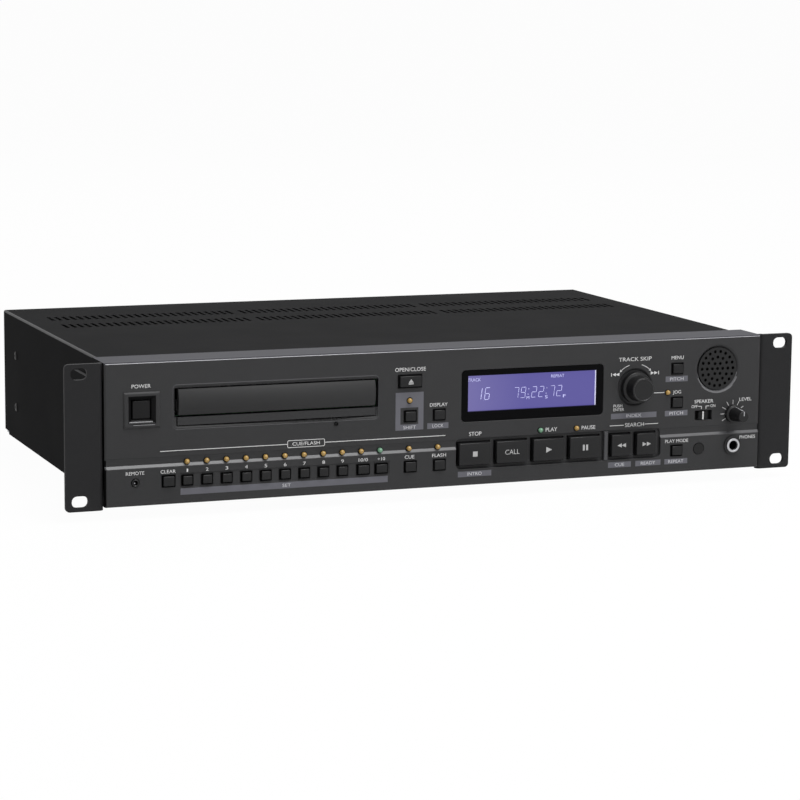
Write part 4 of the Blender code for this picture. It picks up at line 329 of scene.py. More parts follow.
def place(across: float, up: float) -> Point:
    """X and Z, in metres, of a place on the front given in millimetres."""
    return across * MM, FOOT_DROP + up * MM


def face_at(up: float) -> float:
    """The depth of the printed face at a height in millimetres."""
    return LOW_FACE if up < LEDGE else HIGH_FACE


def span(name: str) -> tuple[Vector, Vector, Vector]:
    """The lowest corner, the highest corner and the middle of a node."""
    low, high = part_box(name)
    return low, high, (low + high) / 2


def key_names() -> list[str]:
    """The nodes of all the keys, the power button left out."""
    return sorted(name for name in frame["nodes"] if name.endswith("_key") or name.startswith("number_key"))


def as_piece(
    name: str,
    bm: BMesh,
    finish: Coat,
    body: str = "housing",
    stands_for: Sequence[str] = (),
    slot: str = "",
    angle: float = 35.0,
    more: Sequence[Coat] = (),
) -> bpy.types.Object:
    """Makes one piece of the model from a mesh that is already in place.

    Args:
        name: The piece's name.
        bm: Its mesh, freed here.
        finish: Its finish.
        body: The body that it moves with.
        stands_for: Nodes that it is shown instead of.
        slot: The record's material slot; not used.
        angle: Edges flatter than this are shaded smooth, in degrees.
        more: Finishes of the faces whose material index is 1 or more.

    Returns:
        The new object.
    """
    bmesh.ops.recalc_face_normals(bm, faces=bm.faces[:])
    mesh = bpy.data.meshes.new(name)
    bm.to_mesh(mesh)
    bm.free()
    for item in (finish, *more):
        mesh.materials.append(item.material())
    mesh.shade_smooth()
    mesh.set_sharp_from_angle(angle=math.radians(angle))
    made = bpy.data.objects.new(name, mesh)
    bpy.context.scene.collection.objects.link(made)
    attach(made, body)
    if stands_for:
        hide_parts(*stands_for)
    LOG.info("%s: %d faces on %s", name, len(mesh.polygons), body)
    return made


def keep_flat(mesh: bpy.types.Mesh) -> None:
    """Keeps the shading of round edges out of the large flat faces beside them."""
    flats = {key for face in mesh.polygons if face.area > FLAT_AREA for key in face.edge_keys}
    for edge in mesh.edges:
        if edge.key in flats:
            edge.use_edge_sharp = True


def merged_node(name: str) -> BMesh:
    """Copies a node's mesh with its doubled corners and its coplanar faces merged.

    Args:
        name: The node.

    Returns:
        The copy, in place.
    """
    bm = bmesh.new()
    bm.from_mesh(frame["nodes"][name].data)
    bmesh.ops.remove_doubles(bm, verts=bm.verts[:], dist=NEAR_SPOT)
    bmesh.ops.dissolve_limit(bm, angle_limit=FLAT_TURN, verts=bm.verts[:], edges=bm.edges[:])
    return bm


def verts_of(geom: Iterable) -> list[Vert]:
    """The vertices among an operator's results."""
    return [item for item in geom if isinstance(item, Vert)]


def box(bm: BMesh, low: Place, high: Place) -> list[Vert]:
    """Adds a box.

    Args:
        bm: The mesh.
        low: Its lowest corner.
        high: Its highest corner.

    Returns:
        Its vertices.
    """
    middle = [(a + b) / 2 for a, b in zip(low, high)]
    sides = [b - a for a, b in zip(low, high)]
    matrix = Matrix.Translation(middle) @ Matrix.Diagonal((*sides, 1.0))
    return bmesh.ops.create_cube(bm, size=1.0, matrix=matrix)["verts"]


def soften(bm: BMesh, geom: Sequence, width: float, segments: int = 3, affect: str = "EDGES") -> None:
    """Rounds edges or corners.

    Args:
        bm: The mesh.
        geom: What is rounded.
        width: How far the rounding reaches, in metres.
        segments: Its steps.
        affect: EDGES or VERTICES.
    """
    bmesh.ops.bevel(
        bm, geom=list(geom), offset=width, offset_type="OFFSET", segments=segments, affect=affect,
        profile=0.5, material=-1,
    )


def edges_along(verts: Iterable[Vert], axis: int) -> list[bmesh.types.BMEdge]:
    """The edges between these vertices that run along one axis.

    Args:
        verts: The vertices.
        axis: 0 for X, 1 for Y, 2 for Z.

    Returns:
        The edges.
    """
    mine = set(verts)
    found = {edge for vert in mine for edge in vert.link_edges if edge.other_vert(vert) in mine}
    others = [index for index in range(3) if index != axis]
    return [
        edge for edge in found
        if all(abs(edge.verts[0].co[index] - edge.verts[1].co[index]) < SAME_SPOT for index in others)
    ]


def turned(bm: BMesh, profile: Profile, centre: Place, axis: Vector, steps: int) -> None:
    """Adds a body turned about an axis.

    Args:
        bm: The mesh.
        profile: Radius and distance along the axis of each point of its outline.
        centre: Where the distances are counted from.
        axis: The axis's direction.
        steps: Steps of a full turn.
    """
    side = axis.orthogonal().normalized()
    start = Vector(centre)
    before = set(bm.verts)
    points = [bm.verts.new(start + axis * along + side * radius) for radius, along in profile]
    edges = [bm.edges.new(pair) for pair in zip(points, points[1:])]
    bmesh.ops.spin(
        bm, geom=points + edges, cent=start, axis=axis, angle=math.tau, steps=steps, use_merge=True
    )
    bmesh.ops.remove_doubles(bm, verts=[vert for vert in bm.verts if vert not in before], dist=SAME_SPOT)


def turned_piece(
    name: str, profile: Profile, centre: Place, axis: Vector, steps: int, finish: Coat, **rest: object
) -> None:
    """Makes a piece of one turned body.

    Args:
        name: The piece's name.
        profile: Its outline, as turned takes it.
        centre: Where its distances are counted from.
        axis: Its axis's direction.
        steps: Steps of a full turn.
        finish: Its finish.
        rest: What else as_piece takes.
    """
    bm = bmesh.new()
    turned(bm, profile, centre, axis, steps)
    as_piece(name, bm, finish, **rest)


def on_circle(centre: Point, radius: float, degrees: float) -> Point:
    """The point of a circle at an angle."""
    turn = math.radians(degrees)
    return centre[0] + radius * math.cos(turn), centre[1] + radius * math.sin(turn)


def rounding(centre: Point, radius: float, start: float, end: float, steps: int = 6) -> list[Point]:
    """Points of an arc from its first angle in degrees to its last."""
    return [on_circle(centre, radius, start + (end - start) * step / steps) for step in range(steps + 1)]


def rounded_loop(low: Point, high: Point, radius: float, steps: int = 5) -> list[Point]:
    """Points round a rectangle with round corners.

    Args:
        low: Its lowest X and Z.
        high: Its highest X and Z.
        radius: Its corners' radius.
        steps: Steps of each corner.

    Returns:
        X and Z of each point, anticlockwise from the lower right corner.
    """
    loop = []
    for x, z, start in ((1, 0, 270.0), (1, 1, 0.0), (0, 1, 90.0), (0, 0, 180.0)):
        centre = (
            high[0] - radius if x else low[0] + radius,
            high[1] - radius if z else low[1] + radius,
        )
        loop += rounding(centre, radius, start, start + 90.0, steps)
    return loop


def lofted(bm: BMesh, rings: Sequence[Ring]) -> None:
    """Adds a closed body through rings of equally many points, from its back to its last face.

    Args:
        bm: The mesh.
        rings: X and Z of each ring's points, and the ring's depth.
    """
    first, depth = rings[0]
    verts = [bm.verts.new((x, depth, z)) for x, z in first]
    bm.faces.new(verts)
    for ring, depth in rings[1:]:
        edges = [bm.edges.get(pair) for pair in zip(verts, verts[1:] + verts[:1])]
        grown = bmesh.ops.extrude_edge_only(bm, edges=edges)["geom"]
        fresh = set(verts_of(grown))
        verts = [
            next(edge.other_vert(vert) for edge in vert.link_edges if edge.other_vert(vert) in fresh)
            for vert in verts
        ]
        for vert, (x, z) in zip(verts, ring):
            vert.co = (x, depth, z)
    bmesh.ops.contextual_create(bm, geom=[bm.edges.get(pair) for pair in zip(verts, verts[1:] + verts[:1])])


def band(bm: BMesh, rings: Iterable[Ring]) -> None:
    """Adds a closed ring-shaped body through loops of equally many points.

    Args:
        bm: The mesh.
        rings: X and Z of each loop's points and its depth, once round the ring's section.
    """
    loops = []
    for ring, depth in rings:
        verts = [bm.verts.new((x, depth, z)) for x, z in ring]
        loops.append([bm.edges.new(pair) for pair in zip(verts, verts[1:] + verts[:1])])
    for one, two in zip(loops, loops[1:] + loops[:1]):
        bmesh.ops.bridge_loops(bm, edges=one + two)


def bar(bm: BMesh, start: Place, end: Place, radius: float, sides: int = 20) -> None:
    """Adds a round bar with eased ends.

    Args:
        bm: The mesh.
        start: Middle of one end.
        end: Middle of the other end.
        radius: Its radius.
        sides: Its number of sides.
    """
    line = Vector(end) - Vector(start)
    long = line.length
    ease = min(radius, long) * BAR_EASE
    outline = [(0.0, 0.0), (radius - ease, 0.0), (radius, ease)]
    outline += [(radius, long - ease), (radius - ease, long), (0.0, long)]
    turned(bm, outline, start, line.normalized(), sides)


def lay_ink(
    bm: BMesh, centre: Point, size: Point, face: float, sides: int = 4, turn: float = 0.0
) -> list[Vert]:
    """Adds a flat printed mark: a bar, or a triangle that points where it is turned.

    Args:
        bm: The mesh.
        centre: X and Z of its middle.
        size: Its width and height.
        face: Depth of the face that it is printed on.
        sides: 4 for a bar, 3 for a triangle pointing right.
        turn: Quarter turns, in degrees, anticlockwise as seen from the front.

    Returns:
        Its vertices.
    """
    spin = Matrix.Rotation(math.radians(turn - 90.0 if sides == 3 else 45.0), 4, "Z")
    verts = bmesh.ops.create_cone(
        bm, cap_ends=True, segments=sides, radius1=1.0, radius2=1.0, depth=1.0, matrix=spin
    )["verts"]
    spans = []
    for axis in (0, 1):
        values = [vert.co[axis] for vert in verts]
        spans.append(((max(values) + min(values)) / 2, max(values) - min(values)))
    for vert in verts:
        x, z = (
            centre[axis] + (vert.co[axis] - middle) / wide * size[axis]
            for axis, (middle, wide) in enumerate(spans)
        )
        vert.co = (x, face - INK / 2 - vert.co.z * INK, z)
    return verts


@dataclass(frozen=True)
class Label:
    """A word or number printed on a face, its sizes in millimetres."""

    text: str
    across: float
    up: float
    width: float
    cap: float = 2.2


class Typesetter:
    """Sets plain words as thin raised ink."""

    def __init__(self) -> None:
        """Measures a capital letter of the typeface."""
        low, high = self.span(self.strike("H"))
        self.cap = high[1] - low[1]

    @staticmethod
    def strike(text: str) -> bpy.types.Mesh:
        """Makes a text's mesh, lying flat at its own size.

        Args:
            text: The words.

        Returns:
            The mesh.
        """
        curve = bpy.data.curves.new("type", "FONT")
        curve.body = text
        curve.extrude = 0.02
        curve.resolution_u = 3
        holder = bpy.data.objects.new("type", curve)
        mesh = bpy.data.meshes.new_from_object(holder)
        bpy.data.objects.remove(holder)
        bpy.data.curves.remove(curve)
        return mesh

    @staticmethod
    def span(mesh: bpy.types.Mesh) -> tuple[Vector, Vector]:
        """The mesh's lowest and highest corners."""
        corners = [vert.co for vert in mesh.vertices]
        low = Vector([min(corner[axis] for corner in corners) for axis in range(3)])
        return low, Vector([max(corner[axis] for corner in corners) for axis in range(3)])

    def set(self, bm: BMesh, label: Label, face: float) -> None:
        """Prints a label on a face that looks forward.

        Args:
            bm: The mesh that takes the letters.
            label: The label.
            face: The face's depth.
        """
        mesh = self.strike(label.text)
        low, high = self.span(mesh)
        x, z = place(label.across, label.up)
        wide = label.width * MM / (high.x - low.x)
        tall = label.cap * MM / self.cap
        middle = Matrix.Translation((-(high.x + low.x) / 2, -self.cap / 2, 0.0))
        size = Matrix.Diagonal((wide, tall, INK / (high.z - low.z), 1.0))
        stand = Matrix.Rotation(math.radians(90.0), 4, "X")
        mesh.transform(Matrix.Translation((x, face - INK / 2, z)) @ stand @ size @ middle)
        bm.from_mesh(mesh)
        bpy.data.meshes.remove(mesh)


@dataclass
class PanelPrint:
    """Everything printed on the front panel: words, numbers, rules, plates and the dial's marks."""

    typesetter: Typesetter
    words: tuple[Label, ...] = (
        Label("POWER", -195.3, 73.5, 11.7),
        Label("REMOTE", -199.6, 21.6, 11.3, 2.0),
        Label("CLEAR", -179.3, 21.6, 9.3, 2.0),
        Label("CUE", -25.2, 21.8, 6.3, 2.1),
        Label("FLASH", -5.6, 21.8, 9.2, 2.1),
        Label("OPEN/CLOSE", -24.7, 76.1, 20.2, 2.3),
        Label("DISPLAY", -5.8, 53.3, 11.7, 2.1),
        Label("CUE/FLASH", -92.2, 33.8, 17.5, 2.0),
        Label("STOP", 18.9, 33.8, 8.3, 2.4),
        Label("PLAY", 70.7, 33.8, 7.9, 2.4),
        Label("PAUSE", 96.3, 33.8, 9.5, 2.4),
        Label("SEARCH", 128.5, 33.9, 13.3, 2.4),
        Label("TRACK SKIP", 128.1, 76.0, 23.0, 2.4),
        Label("MENU", 158.0, 75.7, 8.5, 2.2),
        Label("JOG", 158.2, 53.5, 5.8, 2.1),
        Label("PLAY MODE", 158.3, 22.0, 16.4, 2.1),
        Label("SPEAKER", 177.6, 46.6, 13.5, 2.2),
        Label("OFF", 171.0, 43.4, 4.4, 1.8),
        Label("ON", 184.2, 43.4, 3.6, 1.8),
        Label("LEVEL", 207.7, 46.6, 8.8, 2.1),
        Label("PHONES", 209.3, 22.0, 11.3, 2.1),
        Label("PUSH", 116.6, 46.5, 6.2, 1.8),
        Label("ENTER", 117.2, 44.1, 7.4, 1.8),
    )
    plate_words: tuple[Label, ...] = (
        Label("SHIFT", -25.0, 40.1, 8.3, 2.0),
        Label("LOCK", -6.2, 40.2, 7.4, 2.0),
        Label("SET", -105.0, 8.95, 5.4, 1.9),
        Label("INTRO", 18.3, 8.85, 9.6, 2.0),
        Label("CUE", 118.1, 8.85, 6.6, 2.0),
        Label("READY", 138.2, 8.85, 10.2, 2.0),
        Label("REPEAT", 158.0, 8.8, 10.8, 2.0),
        Label("PITCH", 157.8, 62.0, 9.6, 2.0),
        Label("PITCH", 158.0, 39.85, 9.6, 2.0),
        Label("INDEX", 127.9, 39.85, 10.6, 2.0),
    )
    plates: tuple[tuple[float, float, float, float], ...] = (
        (-34.3, -31.1, 38.4, 61.9),
        (-19.3, -15.9, 38.4, 61.9),
        (-31.1, -19.3, 52.4, 61.9),
        (-31.1, -19.3, 38.4, 42.0),
        (-13.3, 0.8, 38.4, 42.0),
        (-171.7, -39.5, 7.0, 10.9),
        (7.1, 29.6, 7.1, 10.6),
        (110.1, 126.1, 7.1, 10.6),
        (129.3, 147.1, 7.1, 10.6),
        (149.9, 165.6, 60.2, 63.8),
        (149.9, 166.0, 38.1, 41.6),
        (149.9, 166.2, 7.1, 10.5),
        (111.9, 143.9, 38.1, 41.6),
    )
    rules: tuple[tuple[float, float, float], ...] = (
        (-184.0, -104.2, 33.8),
        (-80.1, -1.2, 33.8),
        (111.2, 121.0, 33.9),
        (135.7, 145.2, 33.9),
        (141.3, 149.3, 53.6),
        (173.6, 176.2, 43.4),
        (179.0, 181.6, 43.4),
    )
    drops: Point = (176.0, 179.2)
    drop_up: float = 42.6
    drop_height: float = 1.8
    rule_weight: float = 0.4
    number_rise: float = 21.7
    number_cap: float = 2.0
    last_numbers: tuple[tuple[str, float, float], ...] = (("10/0", -55.6, 6.0), ("+10", -43.8, 4.8))
    group: Point = (-92.2, 33.8)
    group_half: Point = (12.0, 2.3)
    group_corner: float = 0.0009
    group_line: float = 0.00035
    jog: Point = (128.4, 57.9)
    jog_arc: float = 14.9
    jog_sweeps: tuple[Point, ...] = ((107.0, 133.0), (73.0, 47.0))
    arc_half: float = 0.00018
    arrow: Point = (0.0016, 0.0016)
    skips: tuple[Point, ...] = ((-1.0, 114.2), (1.0, 142.1))
    skip_up: float = 66.6
    skip_pair: Point = (-1.25, 1.25)
    skip_draw: float = 0.5
    skip_reach: float = 2.6
    skip_head: Point = (0.0024, 0.0022)
    skip_bar: Point = (0.0005, 0.0022)
    level: Point = (198.7, 37.6)
    level_marks: int = 9
    level_start: float = -210.0
    level_step: float = 30.0
    level_reach: Point = (5.95, 8.85)
    level_weight: float = 0.0003

    def build(self) -> None:
        """Builds all the print in four pieces."""
        words, rules, plates, plate_words = (bmesh.new() for _ in range(4))
        for label in (*self.words, *self.numbers()):
            self.typesetter.set(words, label, face_at(label.up))
        for left, right, up in self.rules:
            centre = place((left + right) / 2, up)
            lay_ink(rules, centre, ((right - left) * MM, self.rule_weight * MM), HIGH_FACE)
        for across in self.drops:
            size = (self.rule_weight * MM, self.drop_height * MM)
            lay_ink(rules, place(across, self.drop_up), size, HIGH_FACE)
        self.ring_box(rules)
        self.jog_marks(rules)
        self.level_ticks(rules)
        for left, right, low, top in self.plates:
            centre = place((left + right) / 2, (low + top) / 2)
            lay_ink(plates, centre, ((right - left) * MM, (top - low) * MM), face_at(low))
        for label in self.plate_words:
            self.typesetter.set(plate_words, label, face_at(label.up) - INK)
        as_piece("panel_words", words, WHITE_INK)
        as_piece("panel_rules", rules, WHITE_INK)
        as_piece("shift_plates", plates, PLATE_INK)
        as_piece("plate_words", plate_words, PALE_INK)

    def numbers(self) -> list[Label]:
        """Labels of the numbers over the number keys, from the left."""
        spots = [(str(index + 1), ROW_START + index * ROW_PITCH, 1.7 if index else 0.9) for index in range(9)]
        return [
            Label(text, across, self.number_rise, width, self.number_cap)
            for text, across, width in (*spots, *self.last_numbers)
        ]

    def ring_box(self, ink: BMesh) -> None:
        """Draws the rounded box round the group's name.

        Args:
            ink: The mesh of the rules.
        """
        x, z = place(*self.group)
        wide, tall = (half * MM for half in self.group_half)
        outer = bmesh.ops.create_grid(ink, x_segments=1, y_segments=1, size=1.0)["verts"]
        for vert in outer:
            vert.co = (x + vert.co.x * wide, HIGH_FACE - INK, z + vert.co.y * tall)
        soften(ink, outer, self.group_corner, 4, "VERTICES")
        face = max(ink.faces, key=lambda item: len(item.verts))
        bmesh.ops.inset_region(ink, faces=[face], thickness=self.group_line, use_boundary=True)
        bmesh.ops.delete(ink, geom=[face], context="FACES_ONLY")

    def jog_marks(self, ink: BMesh) -> None:
        """Draws the two arcs with arrow heads and the skip signs beside the knob.

        Args:
            ink: The mesh of the rules.
        """
        centre = place(*self.jog)
        radius = self.jog_arc * MM
        for start, end in self.jog_sweeps:
            seed = []
            for reach in (radius - self.arc_half, radius + self.arc_half):
                x, z = on_circle(centre, reach, start)
                seed.append(ink.verts.new((x, HIGH_FACE - INK, z)))
            bmesh.ops.spin(
                ink, geom=seed + [ink.edges.new(seed)], cent=(centre[0], HIGH_FACE, centre[1]), axis=FRONT,
                angle=math.radians(end - start), steps=10, use_merge=False,
            )
            turn = 225.0 if end > 90.0 else -45.0
            lay_ink(ink, on_circle(centre, radius, end), self.arrow, HIGH_FACE, 3, turn)
        for side, across in self.skips:
            for shift in self.skip_pair:
                spot = place(across + shift - side * self.skip_draw, self.skip_up)
                lay_ink(ink, spot, self.skip_head, HIGH_FACE, 3, 90.0 - side * 90.0)
            lay_ink(ink, place(across + side * self.skip_reach, self.skip_up), self.skip_bar, HIGH_FACE)

    def level_ticks(self, ink: BMesh) -> None:
        """Draws the marks round the level knob.

        Args:
            ink: The mesh of the rules.
        """
        x, z = place(*self.level)
        start, end = (reach * MM for reach in self.level_reach)
        for mark in range(self.level_marks):
            verts = lay_ink(ink, ((start + end) / 2, 0.0), (end - start, self.level_weight), HIGH_FACE)
            turn = Matrix.Rotation(math.radians(self.level_start + self.level_step * mark), 4, "Y")
            bmesh.ops.transform(ink, matrix=Matrix.Translation((x, 0.0, z)) @ turn, verts=verts)


class Sign(Enum):
    """Signs on keys, as marks of width, height, shift across, shift up, sides and turn; CALL is a word."""

    STOP = ((3.1, 3.2, 0.0, 0.0, 4, 0.0),)
    PLAY = ((3.9, 3.6, 0.0, 0.0, 3, 0.0),)
    PAUSE = ((1.3, 3.7, -1.15, 0.0, 4, 0.0), (1.3, 3.7, 1.15, 0.0, 4, 0.0))
    SEARCH_BACK = ((2.9, 2.7, -1.5, 0.0, 3, 180.0), (2.9, 2.7, 1.5, 0.0, 3, 180.0))
    SEARCH_FORWARD = ((2.9, 2.7, -1.5, 0.0, 3, 0.0), (2.9, 2.7, 1.5, 0.0, 3, 0.0))
    CALL = ()
    OPEN_CLOSE = ((3.3, 2.2, 0.0, 0.4, 3, 90.0), (3.3, 0.7, 0.0, -1.4, 4, 0.0))


@dataclass(frozen=True)
class CapForm:
    """A cap's form: its flange's reach, its edges' rounding and how far each side draws in."""

    lip: float
    ease: float
    taper: float


@dataclass
class Keypad:
    """All the keys: eased caps on flanges, with signs on the large ones."""

    typesetter: Typesetter
    small: CapForm = CapForm(0.0012, 0.0003, 0.0005)
    large: CapForm = CapForm(0.0013, 0.0004, 0.0003)
    slack: float = 0.00012
    call_width: float = 9.8
    call_cap: float = 3.0

    def build(self) -> None:
        """Builds a cap for each key's node and prints the signs."""
        for name in (*key_names(), "power_button"):
            self.build_cap(name, self.large if name in LARGE_KEYS else self.small)
        for sign in Sign:
            self.print_sign(f"{sign.name.lower()}_key", sign)

    def build_cap(self, name: str, form: CapForm) -> None:
        """Builds one cap on its flange.

        Args:
            name: The key's node, also its body.
            form: The cap's form.
        """
        low, high, middle = span(name)
        bm = bmesh.new()
        box(bm, (low.x, FLANGE_FACE, low.z), high)
        front = min(bm.faces, key=lambda face: face.calc_center_median().y)
        bmesh.ops.inset_region(bm, faces=[front], thickness=form.lip + self.slack, use_even_offset=True)
        grown = bmesh.ops.extrude_face_region(bm, geom=[front])["geom"]
        bmesh.ops.delete(bm, geom=[front], context="FACES_ONLY")
        verts = verts_of(grown)
        bmesh.ops.translate(bm, verts=verts, vec=(0.0, low.y - FLANGE_FACE, 0.0))
        for vert in verts:
            vert.co.x -= math.copysign(form.taper, vert.co.x - middle.x)
            vert.co.z -= math.copysign(form.taper, vert.co.z - middle.z)
        rim = [edge for edge in bm.edges if all(vert in verts for vert in edge.verts)]
        rim += [edge for vert in verts for edge in vert.link_edges if edge not in rim]
        soften(bm, rim, form.ease)
        finish = POWER_CAP if name == "power_button" else CAP
        as_piece(f"{name}_cap", bm, finish, name, (name,), "key_plastic")

    def print_sign(self, name: str, sign: Sign) -> None:
        """Prints a sign on a key.

        Args:
            name: The key.
            sign: The sign.
        """
        low, _, middle = span(name)
        ink = bmesh.new()
        for width, height, shift, rise, sides, turn in sign.value:
            spot = (middle.x + shift * MM, middle.z + rise * MM)
            lay_ink(ink, spot, (width * MM, height * MM), low.y, sides, turn)
        if sign is Sign.CALL:
            across, up = middle.x / MM, (middle.z - FOOT_DROP) / MM
            self.typesetter.set(ink, Label("CALL", across, up, self.call_width, self.call_cap), low.y)
        as_piece(f"{name}_sign", ink, SIGN_INK, name)


@dataclass
class Lamps:
    """Domed lenses of the indicator lamps, and black rims painted as the shade in the gaps round them; places
    in millimetres on the front.
    """

    amber: tuple[Point, ...] = (
        (-25.4, 27.0), (-6.3, 27.0), (-25.1, 56.8), (151.5, 53.5), (87.9, 33.8),
    )
    green: tuple[Point, ...] = ((63.1, 33.8),)
    row_count: int = 11
    row_rise: float = 27.0
    radius: float = 0.00152
    dome_up: float = 0.0007
    root: float = -0.002
    # Section of the black rims painted as the shade in the gap round each lens.
    rim: Profile = (
        (0.00155, -0.0001), (0.00155, 0.00032), (0.0018, 0.00032), (0.00205, 0.00008),
        (0.00205, -0.0001), (0.00155, -0.0001),
    )

    def build(self) -> None:
        """Builds the amber lenses, the green lenses and the painted-shade rims."""
        row = tuple((ROW_START + index * ROW_PITCH, self.row_rise) for index in range(self.row_count))
        lens = rounding((0.0, self.dome_up), self.radius, 90.0, 0.0, 7)
        lens += [(self.radius, self.root), (0.0, self.root)]
        for name, places, outline, finish in (
            ("amber_lamps", row[:-1] + self.amber, lens, AMBER),
            ("green_lamps", row[-1:] + self.green, lens, GREEN),
            ("lamp_rim_shade", row + self.amber + self.green, self.rim, SHADE_PAINT),
        ):
            bm = bmesh.new()
            for across, up in places:
                x, z = place(across, up)
                turned(bm, outline, (x, HIGH_FACE, z), FRONT, 24)
            as_piece(name, bm, finish)


@dataclass
class Display:
    """The black-framed window with its sunk, lit screen."""

    typesetter: Typesetter
    screen_low: Point = (13.9, 47.6)
    screen_high: Point = (101.7, 70.1)
    sunk: float = 0.0024
    lip: float = 0.0015
    corner: float = 0.0025
    inner_corner: float = 0.0003
    screen_proud: float = 0.0001
    screen_back: float = 0.0003
    edge_width: float = 0.0003
    edge_sunk: float = 0.0014
    lean: float = 0.13
    half_figure: float = 1.5
    stroke_gap: float = 1.4
    baseline: float = 54.5
    groups: tuple[tuple[str, float, float, float, float], ...] = (
        ("16", 22.4, 5.35, 3.7, 0.36),
        ("79", 47.4, 4.75, 3.3, 0.29),
        ("22", 59.6, 4.85, 3.3, 0.29),
        ("72", 71.9, 4.9, 3.3, 0.29),
    )
    colons: Point = (55.6, 68.0)
    dots: Point = (59.9, 56.6)
    dots_middle: float = 58.0
    dot: Point = (0.0005, 0.0005)
    labels: tuple[Label, ...] = (
        Label("TRACK", 18.9, 67.2, 8.7, 2.0),
        Label("REPEAT", 75.6, 67.3, 9.0, 1.9),
        Label("M", 55.4, 54.3, 1.8, 1.9),
        Label("S", 68.0, 54.3, 1.8, 1.9),
        Label("F", 80.4, 54.3, 1.8, 1.9),
    )

    def build(self) -> None:
        """Builds frame, screen, lit edge and figures."""
        low, high, _ = span("display_window")
        left, bottom = place(*self.screen_low)
        right, top = place(*self.screen_high)
        floor = low.y + self.sunk
        lip = self.lip
        outer = rounded_loop((low.x + lip, low.z + lip), (high.x - lip, high.z - lip), self.corner)
        inner = rounded_loop((left, bottom), (right, top), self.inner_corner)
        bm = bmesh.new()
        lofted(bm, ((outer, FLANGE_FACE), (outer, low.y), (inner, low.y), (inner, floor)))
        as_piece("window_frame", bm, FRAME_BLACK, stands_for=("display_window",), slot="window", angle=20.0)
        screen = ScreenFinish("backlit_screen", seen(117, 111, 172), seen(94, 88, 161), left, right)
        face = floor - self.screen_proud
        for name, finish, start, front, back in (
            ("lit_screen", screen, left, face, floor + self.screen_back),
            ("lit_edge", EDGE_GLOW, right - self.edge_width, low.y + self.edge_sunk, floor),
        ):
            bm = bmesh.new()
            box(bm, (start, front, bottom), (right, back, top))
            as_piece(name, bm, finish, slot="display")
        self.build_figures(face)

    def build_figures(self, face: float) -> None:
        """Builds the lit figures and words.

        Args:
            face: The screen's depth.
        """
        bm = bmesh.new()
        for figures, across, pitch, tall, thin in self.groups:
            for index, figure in enumerate(figures):
                centre = (across + index * pitch, self.baseline + tall)
                self.figure(bm, figure, centre, tall, thin, face)
        for across in self.colons:
            for up in self.dots:
                lay_ink(bm, place(across + self.lean * (up - self.dots_middle), up), self.dot, face)
        for label in self.labels:
            self.typesetter.set(bm, label, face)
        as_piece("lit_figures", bm, SEGMENT, slot="display")

    def figure(self, bm: BMesh, figure: str, centre: Point, tall: float, thin: float, face: float) -> None:
        """Adds one leaning figure of up to seven strokes.

        Args:
            bm: The mesh.
            figure: The figure, 1 to 9.
            centre: Its middle, in millimetres across and up.
            tall: Half its height, in millimetres.
            thin: Its strokes' width, in millimetres.
            face: The screen's depth.
        """
        strokes = {
            "1": "bc", "2": "abged", "3": "abgcd", "4": "fgbc", "5": "afgcd", "6": "afgedc",
            "7": "abc", "8": "abcdefg", "9": "abcdfg",
        }
        half, gap = self.half_figure, thin * self.stroke_gap
        spots = {
            "a": (0.0, tall, 1), "d": (0.0, -tall, 1), "g": (0.0, 0.0, 1), "b": (half, tall / 2, 0),
            "c": (half, -tall / 2, 0), "f": (-half, tall / 2, 0), "e": (-half, -tall / 2, 0),
        }
        middle = place(*centre)[1]
        for stroke in strokes[figure]:
            shift, rise, flat = spots[stroke]
            wide, high = (2 * half - gap, thin) if flat else (thin, tall - gap)
            spot = place(centre[0] + shift, centre[1] + rise)
            for vert in lay_ink(bm, spot, (wide * MM, high * MM), face):
                vert.co.x += self.lean * (vert.co.z - middle)


@dataclass
class TrayFront:
    """The bowed lid of the tray."""

    bulge: float = 0.0015
    steps: int = 40
    ease: float = 0.0003

    def build(self) -> None:
        """Builds the lid with eased ends."""
        low, high, middle = span("tray_door")
        height = high.z - low.z
        radius = (height**2 / 4 + self.bulge**2) / (2 * self.bulge)
        half = math.degrees(math.asin(height / 2 / radius))
        line = rounding((low.y + radius, middle.z), radius, 180.0 - half, 180.0 + half, self.steps)
        line += [(high.y, low.z), (high.y, high.z)]
        bm = bmesh.new()
        face = bm.faces.new([bm.verts.new((low.x, y, z)) for y, z in line])
        grown = bmesh.ops.extrude_face_region(bm, geom=[face])["geom"]
        bmesh.ops.translate(bm, verts=verts_of(grown), vec=(high.x - low.x, 0.0, 0.0))
        ends = [
            edge for edge in bm.edges
            if abs(edge.verts[0].co.x - edge.verts[1].co.x) < SAME_SPOT
            and max(vert.co.y for vert in edge.verts) < high.y - NEAR_SPOT
        ]
        soften(bm, ends, self.ease, 2)
        as_piece("tray_lid", bm, DOOR, "tray", ("tray_door",), "panel_plastic", 30.0)


